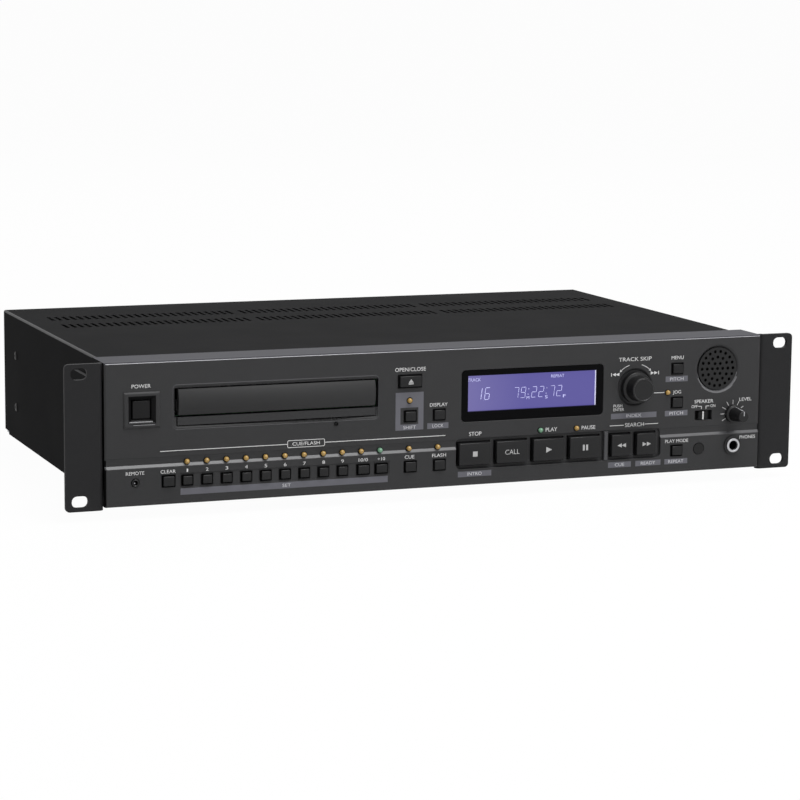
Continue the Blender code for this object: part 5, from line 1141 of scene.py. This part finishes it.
@dataclass
class JogControl:
    """The turning knob with two pale rings painted as highlights on its front and foot edges."""

    base: float = 0.01
    front: float = 0.0076
    ease: float = 0.0007
    foot_ease: float = 0.0006
    skirt: float = 0.0042
    gap: float = 0.0003
    dimple: Point = (0.0012, 0.0002)
    edge: float = 0.001
    flare: Point = (0.0004, 0.0007)
    flare_end: float = 0.0004
    bore: float = 0.0036
    stem: float = 0.002
    bore_depth: float = 0.0006
    front_highlight: Profile = (
        (-0.0011, 0.00012), (-0.0009, -0.00003), (-0.0007, 0.00012), (-0.0011, 0.00012),
    )
    foot_highlight: Profile = (
        (-0.00102, 0.00012), (-0.0009, -0.00003), (-0.00078, 0.00012), (-0.00102, 0.00012),
    )

    def build(self) -> None:
        """Builds knob and painted-highlight rings."""
        low, high, middle = span("jog_knob")
        spot = (middle.x, 0.0, middle.z)
        tip, back, floor = low.y, HIGH_FACE + self.gap, HIGH_FACE + self.bore_depth
        shoulder = back - self.skirt
        foot = self.foot_ease
        profile = [(0.0, tip + self.dimple[1]), (self.front - self.dimple[0], tip + self.dimple[1])]
        profile += [(self.front - self.edge, tip)]
        profile += rounding((self.front - self.ease, tip + self.ease), self.ease, -90.0, 0.0)
        profile += [(self.front + self.flare[0], (tip + shoulder) / 2)]
        profile += [(self.front + self.flare[1], shoulder - self.flare_end)]
        profile += rounding((self.base - foot, shoulder + foot), foot, -90.0, 0.0)
        profile += [(self.base, back - foot), (self.base - foot, back), (self.bore, back), (self.bore, floor)]
        profile += [(self.stem, floor), (self.stem, high.y), (0.0, high.y)]
        turned_piece(
            "jog_grip", profile, spot, BACK, 96, KNOB, body="jog_knob", stands_for=("jog_knob",),
            slot="key_plastic", angle=40.0,
        )
        bm = bmesh.new()
        for line, reach, depth in ((self.front_highlight, self.front, tip), (self.foot_highlight, self.base, shoulder)):
            turned(bm, [(reach + out, depth + along) for out, along in line], spot, BACK, 96)
        as_piece("jog_rim_highlights", bm, RIM_HIGHLIGHT_PAINT, "jog_knob")


@dataclass
class LevelControl:
    """The small tapered level knob with its white pointer."""

    root: float = 0.0058
    tip: float = 0.0036
    ease: float = 0.0007
    root_ease: float = 0.0005
    grip: Profile = ((0.0005, 0.0062), (0.0011, -0.0032))
    root_rise: float = 0.0023
    bore: float = 0.003
    gap: float = 0.0003
    line_half: float = 0.0002
    nose_line: Point = (-0.00003, 0.0004)
    nose_ends: Point = (0.0006, 0.0004)
    side_line: Point = (0.0006, 0.0034)
    slope: float = 0.0013
    proud: float = 0.00006

    def build(self) -> None:
        """Builds knob and pointer."""
        low, high, middle = span("level_knob")
        x, z = middle.x, middle.z
        nose, back = low.y, HIGH_FACE - self.gap
        (near, far), foot = self.grip, self.root_ease
        profile = [(0.0, nose)] + rounding((self.tip - self.ease, nose + self.ease), self.ease, -90.0, 0.0)
        profile += [(self.tip + near[0], nose + near[1]), (self.tip + far[0], back + far[1])]
        profile += rounding((self.root - foot, back - self.root_rise), foot, -90.0, 0.0, 4)
        profile += [(self.root, back), (self.bore, back), (self.bore, high.y), (0.0, high.y)]
        turned_piece(
            "level_grip", profile, (x, 0.0, z), BACK, 64, KNOB, body="level_knob", stands_for=("level_knob",),
            slot="key_plastic", angle=40.0,
        )
        bm = bmesh.new()
        left, right = x - self.line_half, x + self.line_half
        front, behind = (nose + reach for reach in self.nose_line)
        start, short = self.nose_ends
        box(bm, (left, front, z + start), (right, behind, z + self.tip - short))
        thick, short = self.side_line
        side = (left, nose + self.ease, z + self.tip - thick)
        for vert in box(bm, side, (right, back - short, z + self.tip)):
            vert.co.z += self.slope * (vert.co.y - nose) / (back - nose) + self.proud
        as_piece("level_pointer", bm, PALE_INK, "level_knob")


@dataclass
class Slider:
    """The speaker's slide switch: a ribbed lever with its white line."""

    cap: Point = (0.0064, 0.0052)
    ribs: int = 7
    rib_pitch: float = 0.0009
    rib_half: float = 0.00032
    rib_ease: float = 0.00012
    rib_height: float = 0.0006

    def build(self) -> None:
        """Builds lever and line."""
        low, high, middle = span("speaker_switch")
        half_x, half_z = self.cap[0] / 2, self.cap[1] / 2
        foot, top = middle.z - half_z, middle.z + half_z
        bm = bmesh.new()
        box(bm, (low.x, FLANGE_FACE, low.z), high)
        for rib in range(self.ribs):
            centre = middle.x + (rib - (self.ribs - 1) / 2) * self.rib_pitch
            verts = box(bm, (centre - self.rib_half, low.y, foot), (centre + self.rib_half, FLANGE_FACE, top))
            soften(bm, edges_along(verts, 2), self.rib_ease, 1)
        face = low.y + self.rib_height
        box(bm, (middle.x - half_x, face, foot), (middle.x + half_x, FLANGE_FACE, top))
        as_piece("slider_lever", bm, CAP, "speaker_switch", ("speaker_switch",), "key_plastic")
        bm = bmesh.new()
        lay_ink(bm, (middle.x, middle.z), (self.rib_pitch, self.cap[1]), low.y)
        as_piece("slider_line", bm, WHITE_INK, "speaker_switch")


@dataclass
class FrontSockets:
    """Rings of the headphone and wired-remote jacks, and a black ring painted as the shade in the tray's
    eject pinhole.
    """

    phones: Point = (198.28, 17.2)
    phones_proud: float = 0.0005
    phones_ring: Profile = (
        (0.0031, 0.0022), (0.0031, 0.0002), (0.0033, 0.0), (0.0042, 0.0), (0.0045, 0.0003),
        (0.0045, 0.0008), (0.0031, 0.0022),
    )
    remote: Point = (-199.4, 15.8)
    remote_proud: float = 0.0003
    remote_ring: Profile = (
        (0.0014, 0.001), (0.0014, 0.0), (0.0018, -0.0003), (0.0023, -0.0001), (0.0023, 0.001),
        (0.0014, 0.001),
    )
    contact_shift: Point = (-0.0004, -0.0002)
    contact_reach: Point = (0.0009, 0.003)
    contact_radius: float = 0.0005
    eject_share: float = 0.275
    eject_drop: float = 0.0005
    eject_proud: float = 0.0001
    eject_shade_ring: Profile = (
        (0.0008, 0.001), (0.0008, 0.0), (0.00115, 0.0), (0.0012, 0.001), (0.0008, 0.001),
    )

    def build(self) -> None:
        """Builds the rings, the remote jack's contact and the pinhole's painted shade."""
        x, z = place(*self.phones)
        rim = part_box("phones_jack")[0].y - self.phones_proud
        turned_piece("phones_ring", self.phones_ring, (x, rim, z), BACK, 64, RING_METAL)
        x, z = place(*self.remote)
        rim = LOW_FACE - self.remote_proud
        turned_piece("remote_ring", self.remote_ring, (x, rim, z), BACK, 40, CAP)
        bm = bmesh.new()
        x, z = x + self.contact_shift[0], z + self.contact_shift[1]
        start, end = (rim + reach for reach in self.contact_reach)
        bar(bm, (x, start, z), (x, end, z), self.contact_radius, 12)
        as_piece("remote_contact", bm, NICKEL)
        low, high, middle = span("tray_bezel")
        rim = min(low.y, LOW_FACE) - self.eject_proud
        spot = (middle.x + self.eject_share * (high.x - low.x), rim, low.z - self.eject_drop)
        # Painted shade: a black ring in the pinhole's mouth.
        turned_piece("eject_hole_shade", self.eject_shade_ring, spot, BACK, 24, SHADE_PAINT)


@dataclass
class Screws:
    """Cross-headed screws of cover and rear."""

    radius: float = 0.0028
    rise: float = 0.0008
    dome: Profile = ((1.0, 0.0), (1.0, 0.4), (0.82, 0.8), (0.5, 1.0), (0.0, 1.0))
    slots: Profile = ((0.0022, 0.0005), (0.0005, 0.0022))
    slot_depth: float = 0.0002
    side_depths: Point = (0.242, 0.085)
    side_rises: Point = (0.0665, 0.0315)
    rear_spots: tuple[float, ...] = (-0.19, -0.06, 0.07, 0.19)
    rear_rises: Point = (0.0875, 0.0145)
    sockets: Point = (0.0958, 0.1306)
    corner: float = 0.0125
    socket_rise: float = 0.0525

    def build(self) -> None:
        """Builds heads and their cross recesses."""
        low, high, _ = span("top_cover")
        right = Vector((1.0, 0.0, 0.0))
        spots = []
        for x, axis in ((low.x, -right), (high.x, right)):
            for up in self.side_rises:
                spots += [(Vector((x, EAR_FACE + depth, up)), axis) for depth in self.side_depths]
        for x in self.rear_spots:
            spots += [(Vector((x, high.y, up)), BACK) for up in self.rear_rises]
        for x in self.sockets:
            for reach in (-self.corner, self.corner):
                spots.append((Vector((x + reach, high.y, self.socket_rise - reach)), BACK))
        heads, crosses = bmesh.new(), bmesh.new()
        dome = [(self.radius * reach, self.rise * along) for reach, along in self.dome]
        for centre, axis in spots:
            turned(heads, dome, centre, axis, 24)
            turn = axis.to_track_quat("Z", "Y").to_matrix().to_4x4()
            spot = Matrix.Translation(centre + axis * self.rise)
            for slot in self.slots:
                form = Matrix.Diagonal((*slot, self.slot_depth, 1.0))
                bmesh.ops.create_cube(crosses, size=1.0, matrix=spot @ turn @ form)
        as_piece("case_screws", heads, BLACK_SCREW)
        as_piece("screw_recesses", crosses, HOLLOW)


@dataclass
class RearSockets:
    """What stands in the sockets of the rear panel; places are shares of its width and height."""

    half_width: float = 0.2177
    middle_share: float = 0.52
    output_shares: Point = (0.22, 0.3)
    output_ring: Profile = (
        (0.0078, 0.0006), (0.0078, 0.0012), (0.0086, 0.0017), (0.0104, 0.0017), (0.0112, 0.0006),
        (0.0078, 0.0006),
    )
    pin_turns: tuple[float, ...] = (30.0, 150.0, 270.0)
    pin_circle: float = 0.0038
    pin_reach: Point = (-0.0125, -0.0015)
    pin_radius: float = 0.0012
    phono_shares: Point = (0.36, 0.41)
    phono_rows: Point = (0.38, 0.66)
    shell: Profile = (
        (0.0036, 0.0006), (0.0043, 0.0006), (0.0043, 0.0092), (0.0036, 0.0095), (0.0036, 0.0006),
    )
    insert: Profile = (
        (0.0016, 0.0086), (0.0016, 0.0093), (0.0035, 0.0093), (0.0035, 0.0086), (0.0016, 0.0086),
    )
    collar: Profile = (
        (0.0044, 0.0001), (0.0062, 0.0001), (0.0062, 0.0011), (0.0044, 0.0015), (0.0044, 0.0001),
    )
    control_shares: Point = (-0.1, 0.05)
    contact_rows: tuple[tuple[float, int], ...] = ((0.0014, 13), (-0.0014, 12))
    contact_pitch: float = 0.00226
    contact_reach: Point = (0.0053, 0.0057)
    contact_radius: float = 0.00055
    post_reach: float = 0.0215
    post_radius: float = 0.0027
    post_length: float = 0.0048
    post_ease: float = 0.0002
    inlet_share: float = -0.39
    blades: Profile = ((-0.007, -0.0025), (0.0, 0.0022), (0.007, -0.0025))
    blade_half: Point = (0.001, 0.002)
    blade_reach: Point = (-0.0162, -0.002)
    blade_ease: float = 0.0004

    def build(self) -> None:
        """Builds pins, inserts, shells and blades."""
        self.build_outputs()
        self.build_phonos()
        self.build_controls()
        self.build_inlet()

    def spots(self, shares: Sequence[float], up_share: float) -> list[Vector]:
        """Middles of sockets on the panel's outer face.

        Args:
            shares: Their places across.
            up_share: Their height.

        Returns:
            The middles.
        """
        low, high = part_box("top_cover")
        up = low.z + up_share * (high.z - low.z)
        return [Vector((share * 2 * self.half_width, high.y, up)) for share in shares]

    def build_outputs(self) -> None:
        """Builds the three-pin output sockets' rings and pins."""
        rings, pins = bmesh.new(), bmesh.new()
        for spot in self.spots(self.output_shares, self.middle_share):
            turned(rings, self.output_ring, spot, BACK, 48)
            for angle in self.pin_turns:
                x, z = on_circle((spot.x, spot.z), self.pin_circle, angle)
                start, end = (spot.y + reach for reach in self.pin_reach)
                bar(pins, (x, start, z), (x, end, z), self.pin_radius, 16)
        as_piece("output_rings", rings, CAP)
        as_piece("output_pins", pins, NICKEL)

    def build_phonos(self) -> None:
        """Builds the pin-plug sockets' shells and coloured inserts."""
        shells = bmesh.new()
        kinds = (("lower_inserts", RED_INSERT), ("upper_inserts", WHITE_INSERT))
        for (name, finish), row in zip(kinds, self.phono_rows):
            inserts = bmesh.new()
            for spot in self.spots(self.phono_shares, row):
                turned(shells, self.shell, spot, BACK, 32)
                turned(inserts, self.insert, spot, BACK, 32)
                turned(inserts, self.collar, spot, BACK, 32)
            as_piece(name, inserts, finish)
        as_piece("phono_shells", shells, GOLD)

    def build_controls(self) -> None:
        """Builds the control sockets' contact rows and screw posts."""
        contacts, posts = bmesh.new(), bmesh.new()
        stand = Matrix.Rotation(math.radians(90.0), 4, "X")
        for spot in self.spots(self.control_shares, self.middle_share):
            start, end = (spot.y + reach for reach in self.contact_reach)
            for rise, count in self.contact_rows:
                for index in range(count):
                    x = spot.x + (index - (count - 1) / 2) * self.contact_pitch
                    up = spot.z + rise
                    bar(contacts, (x, start, up), (x, end, up), self.contact_radius, 10)
            for reach in (-self.post_reach, self.post_reach):
                middle = spot + Vector((reach, self.post_length / 2, 0.0))
                verts = bmesh.ops.create_cone(
                    posts, cap_ends=True, segments=6, radius1=self.post_radius, radius2=self.post_radius,
                    depth=self.post_length, matrix=Matrix.Translation(middle) @ stand,
                )["verts"]
                soften(posts, edges_along(verts, 0), self.post_ease, 1)
        as_piece("control_contacts", contacts, GOLD)
        as_piece("control_posts", posts, NICKEL)

    def build_inlet(self) -> None:
        """Builds the mains inlet's three blades."""
        blades = bmesh.new()
        spot = self.spots((self.inlet_share,), self.middle_share)[0]
        start, end = (spot.y + reach for reach in self.blade_reach)
        wide, tall = self.blade_half
        for shift, rise in self.blades:
            x, up = spot.x + shift, spot.z + rise
            verts = box(blades, (x - wide, start, up - tall), (x + wide, end, up + tall))
            soften(blades, edges_along(verts, 2), self.blade_ease, 2)
        as_piece("inlet_blades", blades, NICKEL)


@dataclass
class DriveDetails:
    """Lens, pad, spindle tip and magnet of the disc drive, turned about upright axes."""

    lens_reach: float = 0.024
    pad_drop: float = 0.0012
    lens: Profile = ((0.0, 0.00035), (0.0009, 0.0003), (0.0015, 0.00012), (0.0018, -0.0001), (0.0, -0.0001))
    pad: Profile = ((0.0098, 0.0), (0.0131, 0.0), (0.0131, 0.0002), (0.0098, 0.0002), (0.0098, 0.0))
    tip: Profile = ((0.0, 0.0003), (0.0013, 0.0003), (0.0016, 0.0), (0.0, 0.0))
    magnet: Profile = ((0.0, 0.0006), (0.0072, 0.0006), (0.0076, 0.0003), (0.0076, 0.0), (0.0, 0.0))

    def build(self) -> None:
        """Builds the four fittings."""
        x = span("optical_pickup")[2].x
        _, hub_top, hub = span("turntable")
        lens_top, clamp_top = (span(name)[1].z for name in ("optical_pickup", "disc_clamp"))
        for name, outline, spot, steps, finish, body in (
            ("pickup_lens", self.lens, (x, hub.y + self.lens_reach, lens_top), 32, LENS, "optical_pickup"),
            ("hub_pad", self.pad, (x, hub.y, hub_top.z - self.pad_drop), 64, RUBBER, "turntable"),
            ("spindle_tip", self.tip, (x, hub.y, hub_top.z), 32, STEEL, "turntable"),
            ("clamp_magnet", self.magnet, (x, hub.y, clamp_top), 48, STEEL, "disc_clamp"),
        ):
            turned_piece(name, outline, spot, UP, steps, finish, body=body)


@dataclass
class FrontShell:
    """The moulded front: eased edges round every opening, painted highlights on the upper edge, the dish and
    the ledge, a paler painted top tone, and painted shade in the power recess and on the ends.
    """

    finishes: tuple[Finish, ...] = (PANEL, SHADE_PAINT, EDGE_HIGHLIGHT_PAINT, LEDGE_HIGHLIGHT_PAINT, TOP_LIGHT_PAINT, COVER, DISH_HIGHLIGHT_PAINT)
    ease: float = 0.00032
    sharp: float = math.radians(30.0)
    face_depth: float = 0.0002
    top_reach: float = 0.0012
    end_reach: float = 0.0007
    mouth: float = 0.0085
    mouth_depth: float = 0.0011
    dish: float = 0.0009
    dish_ring: Point = (0.0141, 0.0166)
    ledge: Point = (24.0, 27.5)
    ledge_depth: float = 0.0012
    top_facing: float = 0.3
    edge_facing: Point = (0.68, 0.74)
    end_facing: float = 0.7
    dish_facing: Point = (0.2, 0.95)
    ledge_facing: float = 0.5

    def build(self) -> None:
        """Builds the front from a merged copy of its node."""
        bm = merged_node("front_panel")
        self.ease_edges(bm)
        self.dress_faces(bm)
        front = as_piece(
            "front_moulding", bm, self.finishes[0], "housing", ("front_panel",), "panel_plastic", 20.0,
            self.finishes[1:],
        )
        keep_flat(front.data)

    def ease_edges(self, bm: BMesh) -> None:
        """Rounds the sharp edges of the face.

        Args:
            bm: The mesh.
        """
        sharp = [
            edge for edge in bm.edges
            if edge.is_manifold and edge.is_convex and edge.calc_face_angle() > self.sharp
            and max(vert.co.y for vert in edge.verts) < HIGH_FACE + self.face_depth
        ]
        grille = span("speaker_grille")[2]
        dish = {edge for edge in sharp if all(self.on_dish(vert.co, grille) for vert in edge.verts)}
        soften(bm, [edge for edge in sharp if edge not in dish], self.ease, 2)
        soften(bm, [edge for edge in dish if edge.is_valid], self.dish, 4)

    def on_dish(self, spot: Vector, grille: Vector) -> bool:
        """Whether a place lies on the dish round the middle of the speaker's grille."""
        return self.dish_ring[0] < math.hypot(spot.x - grille.x, spot.z - grille.z) < self.dish_ring[1]

    def dress_faces(self, bm: BMesh) -> None:
        """Paints shade on the power recess and the ends, highlights on the upper edge, the dish and the
        ledge, and a paler lit tone on the top.

        Args:
            bm: The mesh.
        """
        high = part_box("front_panel")[1]
        power, grille = (span(name)[2] for name in ("power_button", "speaker_grille"))
        ledge_low, ledge_top = (place(0.0, up)[1] for up in self.ledge)
        for face in bm.faces:
            spot, up = face.calc_center_median(), face.normal.z
            reach = max(abs(spot.x - power.x), abs(spot.z - power.z))
            on_ledge = ledge_low < spot.z < ledge_top and spot.y < HIGH_FACE + self.ledge_depth
            finish = PANEL
            if reach < self.mouth and spot.y > HIGH_FACE - self.mouth_depth:
                # Painted shade: the power recess's faces are painted black for the shade inside it.
                finish = SHADE_PAINT
            elif spot.z > high.z - self.top_reach and up > self.top_facing:
                # Painted highlight on the upper edge's bevel, and a paler painted top tone on the rest of the
                # top.
                finish = EDGE_HIGHLIGHT_PAINT if self.edge_facing[0] < up < self.edge_facing[1] else TOP_LIGHT_PAINT
            elif abs(face.normal.x) > self.end_facing and abs(spot.x) > high.x - self.end_reach:
                # Painted shade: the panel's end faces take the cover's black, standing for the shade on them.
                finish = COVER
            elif self.dish_facing[0] < up < self.dish_facing[1] and self.on_dish(spot, grille):
                # Painted highlight on the dish's upward-facing lower faces.
                finish = DISH_HIGHLIGHT_PAINT
            elif on_ledge and up > self.ledge_facing:
                # Painted highlight on the ledge's upward faces.
                finish = LEDGE_HIGHLIGHT_PAINT
            face.material_index = self.finishes.index(finish)


@dataclass
class KeyRims:
    """Black rims painted as the shade in the small keys' gaps, and a pale lip painted as the highlight round
    the tray's bezel.
    """

    corner: float = 0.0005
    section: Profile = (
        (0.0008, 0.0), (0.0009, -0.00015), (0.00108, -0.00015), (0.00108, 0.0002), (0.0008, 0.0002),
    )
    bezel_low: Point = (-175.6, 46.6)
    bezel_high: Point = (-45.7, 72.9)
    bezel_corner: float = 0.0022
    bezel_section: Profile = (
        (-0.0007, 0.0), (-0.0002, -0.0002), (0.0, 0.0), (0.0, 0.0001), (-0.0007, 0.0001),
    )

    def build(self) -> None:
        """Builds the painted-shade rims and the bezel's painted-highlight lip."""
        bm = bmesh.new()
        for name in key_names():
            if name not in LARGE_KEYS:
                low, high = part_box(name)
                face = face_at((low.z - FOOT_DROP) / MM)
                self.rim(bm, (low.x, low.z), (high.x, high.z), face, self.section, self.corner, 3)
        as_piece("key_rim_shade", bm, SHADE_PAINT, angle=20.0)
        bm = bmesh.new()
        low, high = place(*self.bezel_low), place(*self.bezel_high)
        self.rim(bm, low, high, HIGH_FACE, self.bezel_section, self.bezel_corner, 5)
        as_piece("bezel_lip_highlight", bm, LIP_HIGHLIGHT_PAINT, angle=20.0)

    @staticmethod
    def rim(
        bm: BMesh, low: Point, high: Point, face: float, section: Profile, corner: float, steps: int
    ) -> None:
        """Adds a rim round a rectangle.

        Args:
            bm: The mesh.
            low: The rectangle's lowest X and Z.
            high: Its highest X and Z.
            face: Depth of the face round it.
            section: How far inside the rectangle and how far behind the face each loop lies.
            corner: The corners' radius, which a loop outside the rectangle widens.
            steps: Steps of each corner.
        """
        rings = []
        for inset, depth in section:
            start, end = [side + inset for side in low], [side - inset for side in high]
            rings.append((rounded_loop(start, end, corner - min(inset, 0.0), steps), face + depth))
        band(bm, rings)


@dataclass
class PowerSill:
    """Bars on the lower slope of the power button's recess, in millimetres: two painted pale as highlights
    and one painted black as a shadow line.
    """

    bars: tuple[tuple[str, Finish, float, float, float, float, float], ...] = (
        ("power_sill", SILL_HIGHLIGHT_PAINT, -195.6, 7.2, 51.95, 0.0, 0.42),
        ("power_sill_lip", SILL_HIGHLIGHT_PAINT, -193.9, 6.6, 50.35, -1.15, 0.16),
        ("power_sill_shadow", SHADE_PAINT, -194.6, 6.9, 50.95, -1.05, 0.2),
    )

    def build(self) -> None:
        """Builds each bar: name, finish, middle, half length, height, depth behind the face, radius."""
        for name, finish, middle, half, up, sunk, radius in self.bars:
            bm = bmesh.new()
            (left, z), (right, _) = place(middle - half, up), place(middle + half, up)
            depth = HIGH_FACE + sunk * MM
            bar(bm, (left, depth, z), (right, depth, z), radius * MM)
            as_piece(name, bm, finish)


@dataclass
class DividerBar:
    """The upright bar between the pause key and the search keys."""

    across: Point = (107.0, 109.5)
    proud: float = 0.0004
    reach: float = 0.0006
    gap: float = 0.0001
    ease: float = 0.0004

    def build(self) -> None:
        """Builds the bar on the floor of the keys' bay."""
        key_low, key_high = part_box("pause_key")
        left, right = (value * MM for value in self.across)
        low = (left, LOW_FACE - self.proud, key_low.z - self.reach)
        bm = bmesh.new()
        verts = box(bm, low, (right, FLANGE_FACE - self.gap, key_high.z + self.reach))
        soften(bm, edges_along(verts, 2), self.ease)
        as_piece("divider_bar", bm, DIVIDER)


@dataclass
class CadDressing:
    """Materials of the nodes that stay, and smooth copies of those with round forms."""

    copied: tuple[tuple[Finish, str, tuple[str, ...]], ...] = (
        (PANEL, "panel_plastic", ("tray_bezel",)),
        (COVER, "painted_sheet", ("top_cover",)),
        (EAR, "painted_sheet", ("rack_ear_left", "rack_ear_right")),
        (DRIVE, "drive_plastic", ("disc_tray", "turntable", "disc_clamp", "phones_jack")),
        (ZINC, "zinc_steel", ("loader_frame",)),
        (RUBBER, "rubber", ("foot_front_left", "foot_front_right", "foot_rear_left", "foot_rear_right")),
    )
    bare: tuple[tuple[Coat, tuple[str, ...]], ...] = (
        (COVER, ("rear_panel",)),
        (ZINC, ("chassis_base",)),
        (BOARD, ("front_board", "main_board", "power_supply")),
        (DRIVE, ("ac_inlet", "remote_jack", "jog_plunger", "optical_pickup")),
        (KNOB, ("speaker_grille",)),
        (NYLON, ("loader_gear",)),
        (GLASS, ("infrared_window",)),
        (FRAME_BLACK, ("display_module",)),
        (CONE, ("speaker_driver",)),
    )
    ear_sheet: float = 0.004
    ear_facing: float = 0.7
    bend_facing: float = 0.2
    smooth_angle: float = 32.0

    def build(self) -> None:
        """Dresses the nodes."""
        for finish, slot, names in self.copied:
            for name in names:
                self.smooth_copy(name, finish, slot)
        for finish, names in self.bare:
            for name in names:
                for holder in frame["nodes"][name].material_slots:
                    holder.material = finish.material()
                LOG.info("%s: dressed as %s", name, finish.name)

    def smooth_copy(self, name: str, finish: Finish, slot: str) -> None:
        """Shows a node as a merged copy of itself, smooth where it is round.

        Args:
            name: The node.
            finish: Its finish.
            slot: Its material slot in the record.
        """
        bm = merged_node(name)
        more: tuple[Finish, ...] = ()
        if name.startswith("rack_ear"):
            # Painted shade: the ear's sideways faces behind its plate take the cover's darker black, standing
            # for the shade that they lie in.
            more = (COVER,)
            for face in bm.faces:
                behind = face.calc_center_median().y > EAR_FACE + self.ear_sheet
                face.material_index = int(behind and abs(face.normal.x) > self.ear_facing)
        elif name == "top_cover":
            # Painted highlight on the cover's bend faces.
            more = (BEND_HIGHLIGHT_PAINT,)
            for face in bm.faces:
                face.material_index = int(min(abs(face.normal.x), face.normal.z) > self.bend_facing)
        body = next(key for key, names in frame["record"]["behaviour"]["bodies"].items() if name in names)
        shell = as_piece(f"{name}_shell", bm, finish, body, (name,), slot, self.smooth_angle, more)
        keep_flat(shell.data)


@dataclass
class Studio:
    """Camera, floor, lights and backdrop."""

    azimuth: float = 21.21
    tilt: float = 8.90
    roll: float = 0.52
    eye: tuple[float, float, float] = (-0.615, -1.505, 0.3165)
    lens: float = 119.9
    sensor: float = 36.0
    far: float = 400.0
    floor_half: float = 90.0
    floor_colour: Colour = (0.72, 0.72, 0.72)
    floor_shown: float = 0.97
    sky_light: float = 0.31
    lamps: tuple[tuple[str, Place, float, float, Place], ...] = (
        ("sky_lamp", (0.35, -0.8, 2.1), 1.3, 49.0, (0.0, 0.0, 0.0)),
        ("front_lamp", (0.8, -2.4, 1.7), 0.9, 18.0, (0.0, 0.0, 0.05)),
        ("rear_lamp", (0.95, 2.1, 1.9), 1.4, 16.0, (0.0, 0.0, 0.05)),
    )

    def build(self) -> None:
        """Sets the studio up."""
        self.build_camera()
        self.build_world()
        self.build_floor()
        self.build_lamps()
        bpy.context.scene.view_settings.view_transform = "Standard"

    def build_camera(self) -> None:
        """Adds the camera at the viewing angle."""
        data = bpy.data.cameras.new("camera")
        data.lens = self.lens
        data.sensor_width = self.sensor
        data.clip_end = self.far
        camera = bpy.data.objects.new("camera", data)
        x, y, z = self.eye
        camera.matrix_world = Matrix.Translation((x, EAR_FACE + y, z))
        for degrees, axis in ((-self.azimuth, "Z"), (90.0 - self.tilt, "X"), (self.roll, "Z")):
            camera.matrix_world = camera.matrix_world @ Matrix.Rotation(math.radians(degrees), 4, axis)
        bpy.context.scene.collection.objects.link(camera)
        bpy.context.scene.camera = camera

    @staticmethod
    def shown_rays(tree: Tree) -> Socket:
        """Adds a switch that is 1 for camera, glossy and transmission rays.

        Args:
            tree: The nodes that it joins.

        Returns:
            The switch's output.
        """
        path = grow(tree, "LightPath", {})
        total = path.outputs["Is Camera Ray"]
        for name in ("Is Glossy Ray", "Is Transmission Ray"):
            total = grow(tree, "Math", {0: total, 1: path.outputs[name]}, operation="MAXIMUM").outputs[0]
        return total

    def build_world(self) -> None:
        """Makes the backdrop white to look at and plain as light."""
        world = bpy.data.worlds.new("backdrop")
        world.use_nodes = True
        tree = world.node_tree
        light = tree.nodes["Background"]
        feed(light, {"Color": WHITE, "Strength": self.sky_light})
        show = grow(tree, "Background", {"Color": WHITE, "Strength": 1.0})
        mix = grow(tree, "MixShader", {0: self.shown_rays(tree), 1: light.outputs[0], 2: show.outputs[0]})
        feed(tree.nodes["World Output"], {0: mix.outputs[0]})
        bpy.context.scene.world = world

    def build_floor(self) -> None:
        """Adds the pale floor, white where no shadow lies."""
        bm = bmesh.new()
        bmesh.ops.create_grid(bm, x_segments=1, y_segments=1, size=self.floor_half)
        mesh = bpy.data.meshes.new("floor")
        bm.to_mesh(mesh)
        bm.free()
        floor = bpy.data.objects.new("floor", mesh)
        bpy.context.scene.collection.objects.link(floor)
        made = bpy.data.materials.new("floor_paper")
        made.use_nodes = True
        tree = made.node_tree
        paper = tree.nodes["Principled BSDF"]
        feed(paper, {"Base Color": (*self.floor_colour, 1.0), "Roughness": 0.9, "Specular IOR Level": 0.0})
        glow = grow(tree, "Emission", {"Strength": 1.0})
        share = grow(tree, "Math", {0: self.shown_rays(tree), 1: self.floor_shown}, operation="MULTIPLY")
        mix = grow(tree, "MixShader", {0: share.outputs[0], 1: paper.outputs[0], 2: glow.outputs[0]})
        feed(tree.nodes["Material Output"], {0: mix.outputs[0]})
        mesh.materials.append(made)

    def build_lamps(self) -> None:
        """Adds the soft square lamps: name, place, side, watts and what each points at."""
        for name, spot, side, power, target in self.lamps:
            data = bpy.data.lights.new(name, "AREA")
            data.shape = "SQUARE"
            data.size = side
            data.energy = power
            lamp = bpy.data.objects.new(name, data)
            turn = (Vector(target) - Vector(spot)).to_track_quat("-Z", "Y").to_matrix().to_4x4()
            lamp.matrix_world = Matrix.Translation(spot) @ turn
            bpy.context.scene.collection.objects.link(lamp)


def main() -> None:
    """Builds the studio and every sub-assembly in order."""
    logging.basicConfig(level=logging.INFO, format="%(name)s: %(message)s")
    typesetter = Typesetter()
    for assembly in (
        Studio(), CadDressing(), PanelPrint(typesetter), Keypad(typesetter), Lamps(), Display(typesetter),
        FrontShell(), KeyRims(), PowerSill(), DividerBar(), TrayFront(), JogControl(), LevelControl(),
        Slider(), FrontSockets(), Screws(), RearSockets(), DriveDetails(),
    ):
        assembly.build()


if __name__ == "__main__":
    main()
